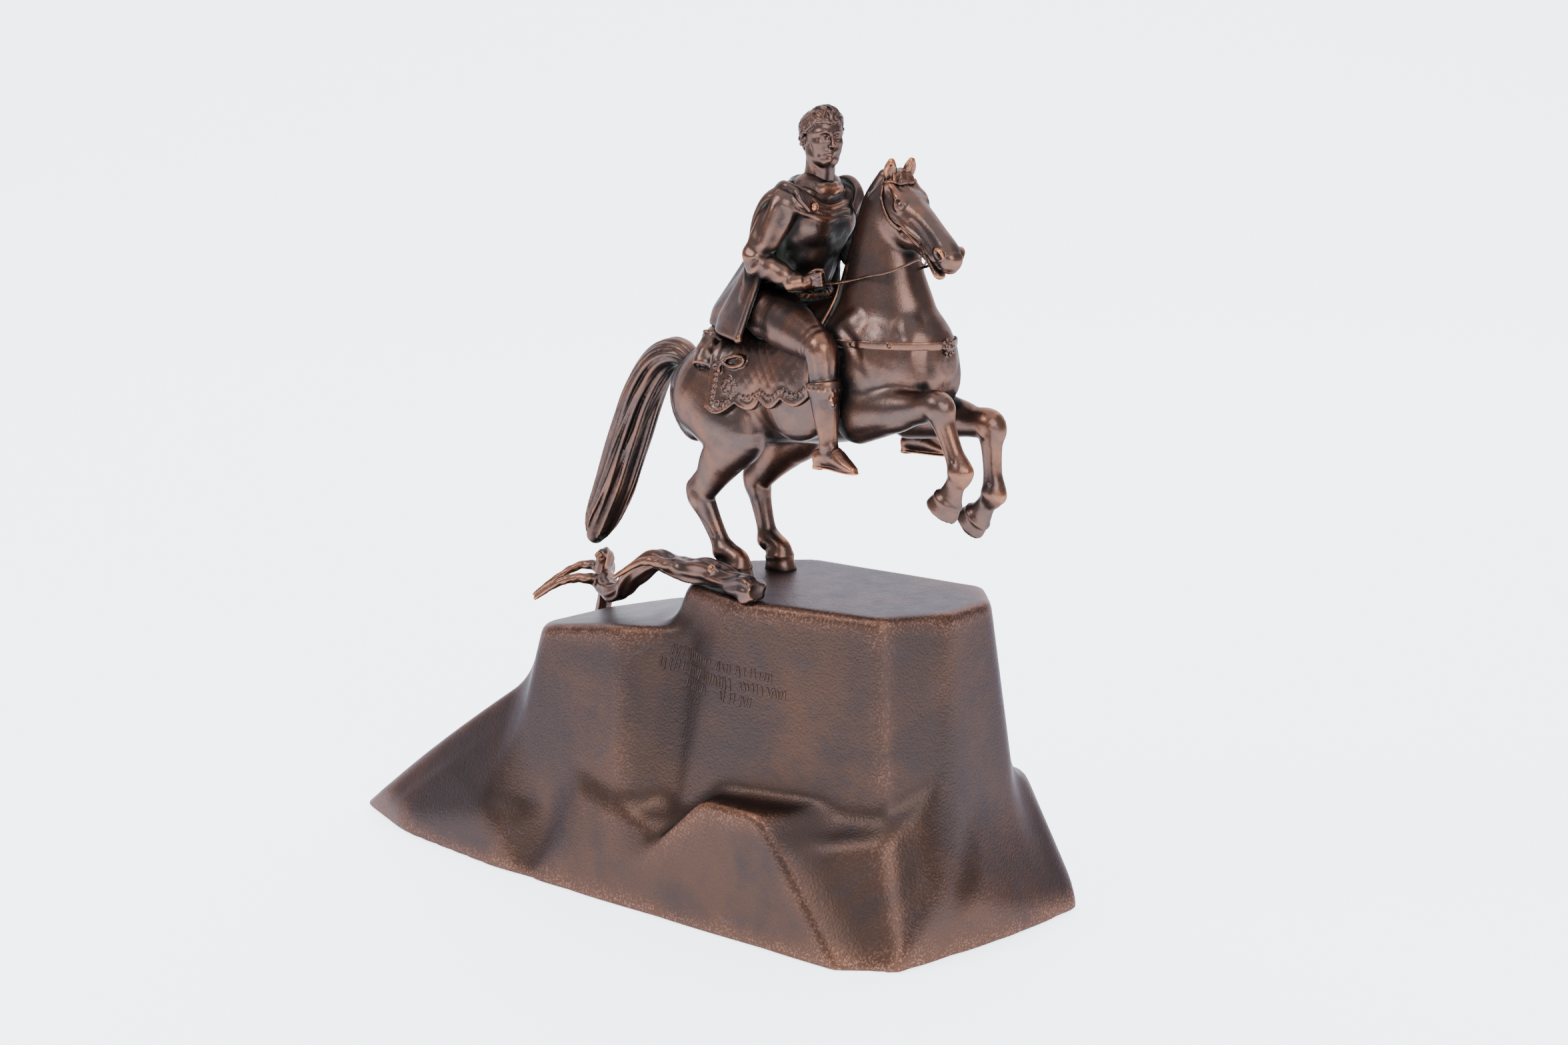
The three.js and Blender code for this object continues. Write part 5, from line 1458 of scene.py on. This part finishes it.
def buildBough():
    bough = Volume((-78, -46, 66), (80, 36, 128), boughShape["cell"], 2.5)
    share = np.arange(len(boughPath)) / (len(boughPath) - 1)
    girths = boughShape["girth"] * (1.12 - 0.52 * share) * (1 + 0.1 * np.cos(2.6 * np.arange(len(boughPath))))
    stations = np.concatenate([boughPath, np.stack([girths, girths * 0.94], -1)], -1)
    bough.add(loft(stations, 64, 18, relief=barkRelief(np.random.default_rng(9).uniform(0, 6.28, 8))), 0)
    for twig in twigs:
        bough.add(loft(twig, 28, 14, relief=twigRelief), 1.6)
        bough.add(lump(twig[0][:3], [3.9, 3.7, 3.7]), 1.5)
    # the broken end: flat, with a ring of bark round it and a few splinters
    bough.cut(lump([80.5, -38.6, 118.4], [7.4, 9, 9], sides=32, rings=20), 0.5)
    for n in range(boughShape["splinters"]):
        angle = 2 * math.pi * n / boughShape["splinters"]
        out = np.array([-0.3 * math.cos(angle), math.cos(angle), math.sin(angle)])
        root = np.array([71.5, -35.4, 117.8]) + 2.9 * out
        tip = root + [1.4 + 0.9 * math.sin(2.3 * n), -0.7, 0]
        bough.add(loft([[*(root - [3, -1, 0]), 1, 1], [*root, 0.8, 0.7], [*tip, 0.3, 0.3]], 12, 4), 0.4)
    for x, y, z, size in boughShape["knots"]:
        bough.add(lump([x, y, z], [size, size, size * 0.9]), 1)
        bough.cut(lump([x + 0.3, y - size * 0.75, z + size * 0.45], [size * 0.45, size * 0.45, size * 0.4]), 0.4)
    bough.values = np.maximum(bough.values, boughShape["gap"] - bough.fetch(rock))  # kept clear of the rock
    return bough


bough = buildBough()


# Rows of shallow raised strokes on the plinth's near face. Each row holds groups as [start, end, height], in mm
# from `from`, an x and a z. `gaps` are the steps from stroke to stroke and `gapShares` how common each is.
strokeShape = {"cell": 0.28, "relief": 0.34, "girth": 0.4, "from": (34.5, 93.6), "pitch": 4.9, "fall": 0.06, "rows": [
    [(0, 21, 3.9), (25, 49, 3.1)], [(-3.5, 32, 4.1), (36, 54, 3.2)], [(8, 20.5, 3.4), (28, 40, 3.4)]],
    "gaps": [1.3, 1.6, 2.0, 2.6], "gapShares": [0.35, 0.3, 0.2, 0.15]}


# Points at (x, z) moved inwards from outside the near face until they meet the rock.
def onFace(x, z):
    points = np.stack([x, np.full(len(x), -60.0), z], -1)
    for _ in range(60):
        points[:, 1] += np.maximum(rock.sample(points), 0) * 0.9
    return points


def buildStrokes():
    left, top = strokeShape["from"]
    strokes = Volume((left - 8, -62, top - 20), (left + 60, -30, top + 4), strokeShape["cell"], 1.0)
    rng = np.random.default_rng(21)
    t = np.linspace(-1, 1, 5)
    for number, groups in enumerate(strokeShape["rows"]):
        for start, end, tall in groups:
            x = start
            while x < end:
                lean = rng.uniform(-0.3, 0.3)
                half = tall * rng.uniform(0.34, 0.5)
                middle = top - strokeShape["pitch"] * number - strokeShape["fall"] * x - tall / 2
                middle += rng.uniform(-0.25, 0.25)
                path = onFace(left + x + lean * half * t, middle + half * t)
                strokes.add(tube(path, strokeShape["girth"], strokeShape["relief"], 12, 4, (1, 0, 0)), 0)
                x += rng.choice(strokeShape["gaps"], p=strokeShape["gapShares"])
    return strokes


strokes = buildStrokes()
report("straps, bough and strokes")


# The whole statuette as a coarse filled share of space, smoothed, in the figure's frame: the source of `shade`, which
# the finishes paint as shade in hollows and between parts.
spaceShape = {"cell": 1.5, "blur": 5.0}


def fillSpace():
    space = Volume((-198, -68, -122), (114, 68, 176), spaceShape["cell"], 3.0)
    toRock = (unit * 1000, tuple(groupOrigin * 1000))
    for form in (horse, horseHead, mane, tail, rider, hands, riderHead, mantle, saddle, tack):
        space.values = np.minimum(space.values, space.fetch(form))
    for form in (rock, bough):
        space.values = np.minimum(space.values, space.fetch(form, *toRock))
    space.values = np.clip(0.5 - space.values / space.cell, 0, 1)
    space.values = space.blurred(spaceShape["blur"])
    return space


statuette = fillSpace()
report("surroundings")


# 1 on the hooves, which are handled and rubbed less than the legs, falling to 0 within `fade` mm.
hoofShape = {"reach": 9.5, "fade": 3}


def atHooves(points):
    near = np.full(len(points), 99.0)
    for legs, top in ((foreJoints, 3), (hindJoints, 4)):
        for joints in legs:
            near = np.minimum(near, np.linalg.norm(points - (np.array(joints[top]) + joints[top + 1]) / 2, axis=1))
    return np.clip((hoofShape["reach"] - near) / hoofShape["fade"], 0, 1)


# The seam across the neck: the body's mesh ends a little above it and the head's starts a little below.
def belowSeam(points):
    return aboveSeam(points) < 1.1


def pastSeam(points):
    return aboveSeam(points) > -0.6


# The body is rubbed, but its hooves are not.
def bodyWear(points):
    return 0.85 - 0.6 * atHooves(points)


# Painted shade: the rider darkens from the waist up.
def riderShade(points):
    return 0.15 * np.clip((points[:, 2] - 102) / 8, 0, 1)


# Every piece of the figure: its volume and how it differs from the rest in wear and in painted shade, which dim adds to
# the tail, the rider's upper body and the mantle.
figure = {
    "horse_body": (horse, {"keep": belowSeam, "worn": bodyWear}),
    "horse_head": (horseHead, {"keep": pastSeam, "worn": 0.8}),
    "mane": (mane, {"worn": 0.7}),
    "tail": (tail, {"worn": 0.6, "dim": 0.15}),
    "rider": (rider, {"dim": riderShade}),
    "hands": (hands, {"fine": 0.5, "worn": 0.7}),
    "rider_head": (riderHead, {"fine": 0.5, "worn": 0.4}),
    "mantle": (mantle, {"worn": 0.5, "dim": 0.22}),
    "saddle_cloth": (saddle, {"worn": 0.6}),
    "straps": (tack, {"worn": 0.3})}
for name, (solid, details) in figure.items():
    cover = [other for key, (other, _) in figure.items() if key != name and {key, name} != {"horse_body", "horse_head"}]
    solid.piece(name, figureBronze, "figure_bronze", cover=cover, **details)
onPlinth = {"place": lambda points: points * 0.001, "figure": lambda points: (points * 0.001 - groupOrigin) / unit}
wood = bough.piece("fallen_bough", figureBronze, "figure_bronze", worn=0.55, **onPlinth)
strokes.piece("strokes", plinthBronze, "plinth_bronze", worn=0.12, **onPlinth)
plinth = rock.piece("rock", plinthBronze, "plinth_bronze", fine=2.2, coarse=7, **onPlinth)
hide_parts("horse_and_rider")
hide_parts("bough")
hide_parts("plinth")


# Floor and backdrop in one sweep: flat under the statuette, then a wide bend up behind it. Its profile in metres
# is r = start + radius sin a, h = rise (1 - cos a), carried straight across the camera's line of sight.
sweepShape = {"near": -2.2, "start": 1.3, "radius": 1.6, "top": 4.5, "halfWidth": 4}


def buildSweep():
    away = np.array([math.sin(cameraTurn) * -1, math.cos(cameraTurn)])
    beside = np.array([away[1], -away[0]])
    bend = np.linspace(0, math.pi / 2, 25)
    start, radius = sweepShape["start"], sweepShape["radius"]
    reach = np.concatenate([[sweepShape["near"], -1, 0], start + radius * np.sin(bend), [start + radius]])
    height = np.concatenate([[0, 0, 0], radius * (1 - np.cos(bend)), [sweepShape["top"]]])
    across = np.linspace(-sweepShape["halfWidth"], sweepShape["halfWidth"], 9)
    r, a = np.meshgrid(reach, across, indexing="ij")
    h = np.repeat(height[:, None], len(across), 1)
    points = np.stack([r * away[0] + a * beside[0], r * away[1] + a * beside[1], h], -1)
    n = np.arange(h.size).reshape(h.shape)
    quads = np.stack([n[:-1, :-1].ravel(), n[:-1, 1:].ravel(), n[1:, 1:].ravel(), n[1:, :-1].ravel()], -1)
    return points.reshape(-1, 3), quads


paperLook = {"colour": (0.8, 0.82, 0.86, 1), "glow": (0.9, 0.945, 1.0, 1), "glowStrength": 3.0}
sweepPoints, sweepQuads = buildSweep()
floor = bpy.data.objects.new("floor", newMesh("floor", sweepPoints, [sweepQuads]))
bpy.context.scene.collection.objects.link(floor)
paper = Finish("paper")
paper.set(Base_Color=paperLook["colour"], Roughness=0.9, Specular_IOR_Level=0.1, Emission_Color=paperLook["glow"],
          Emission_Strength=paperLook["glowStrength"])
floor.data.materials.append(paper.material)


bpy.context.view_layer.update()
report("all")
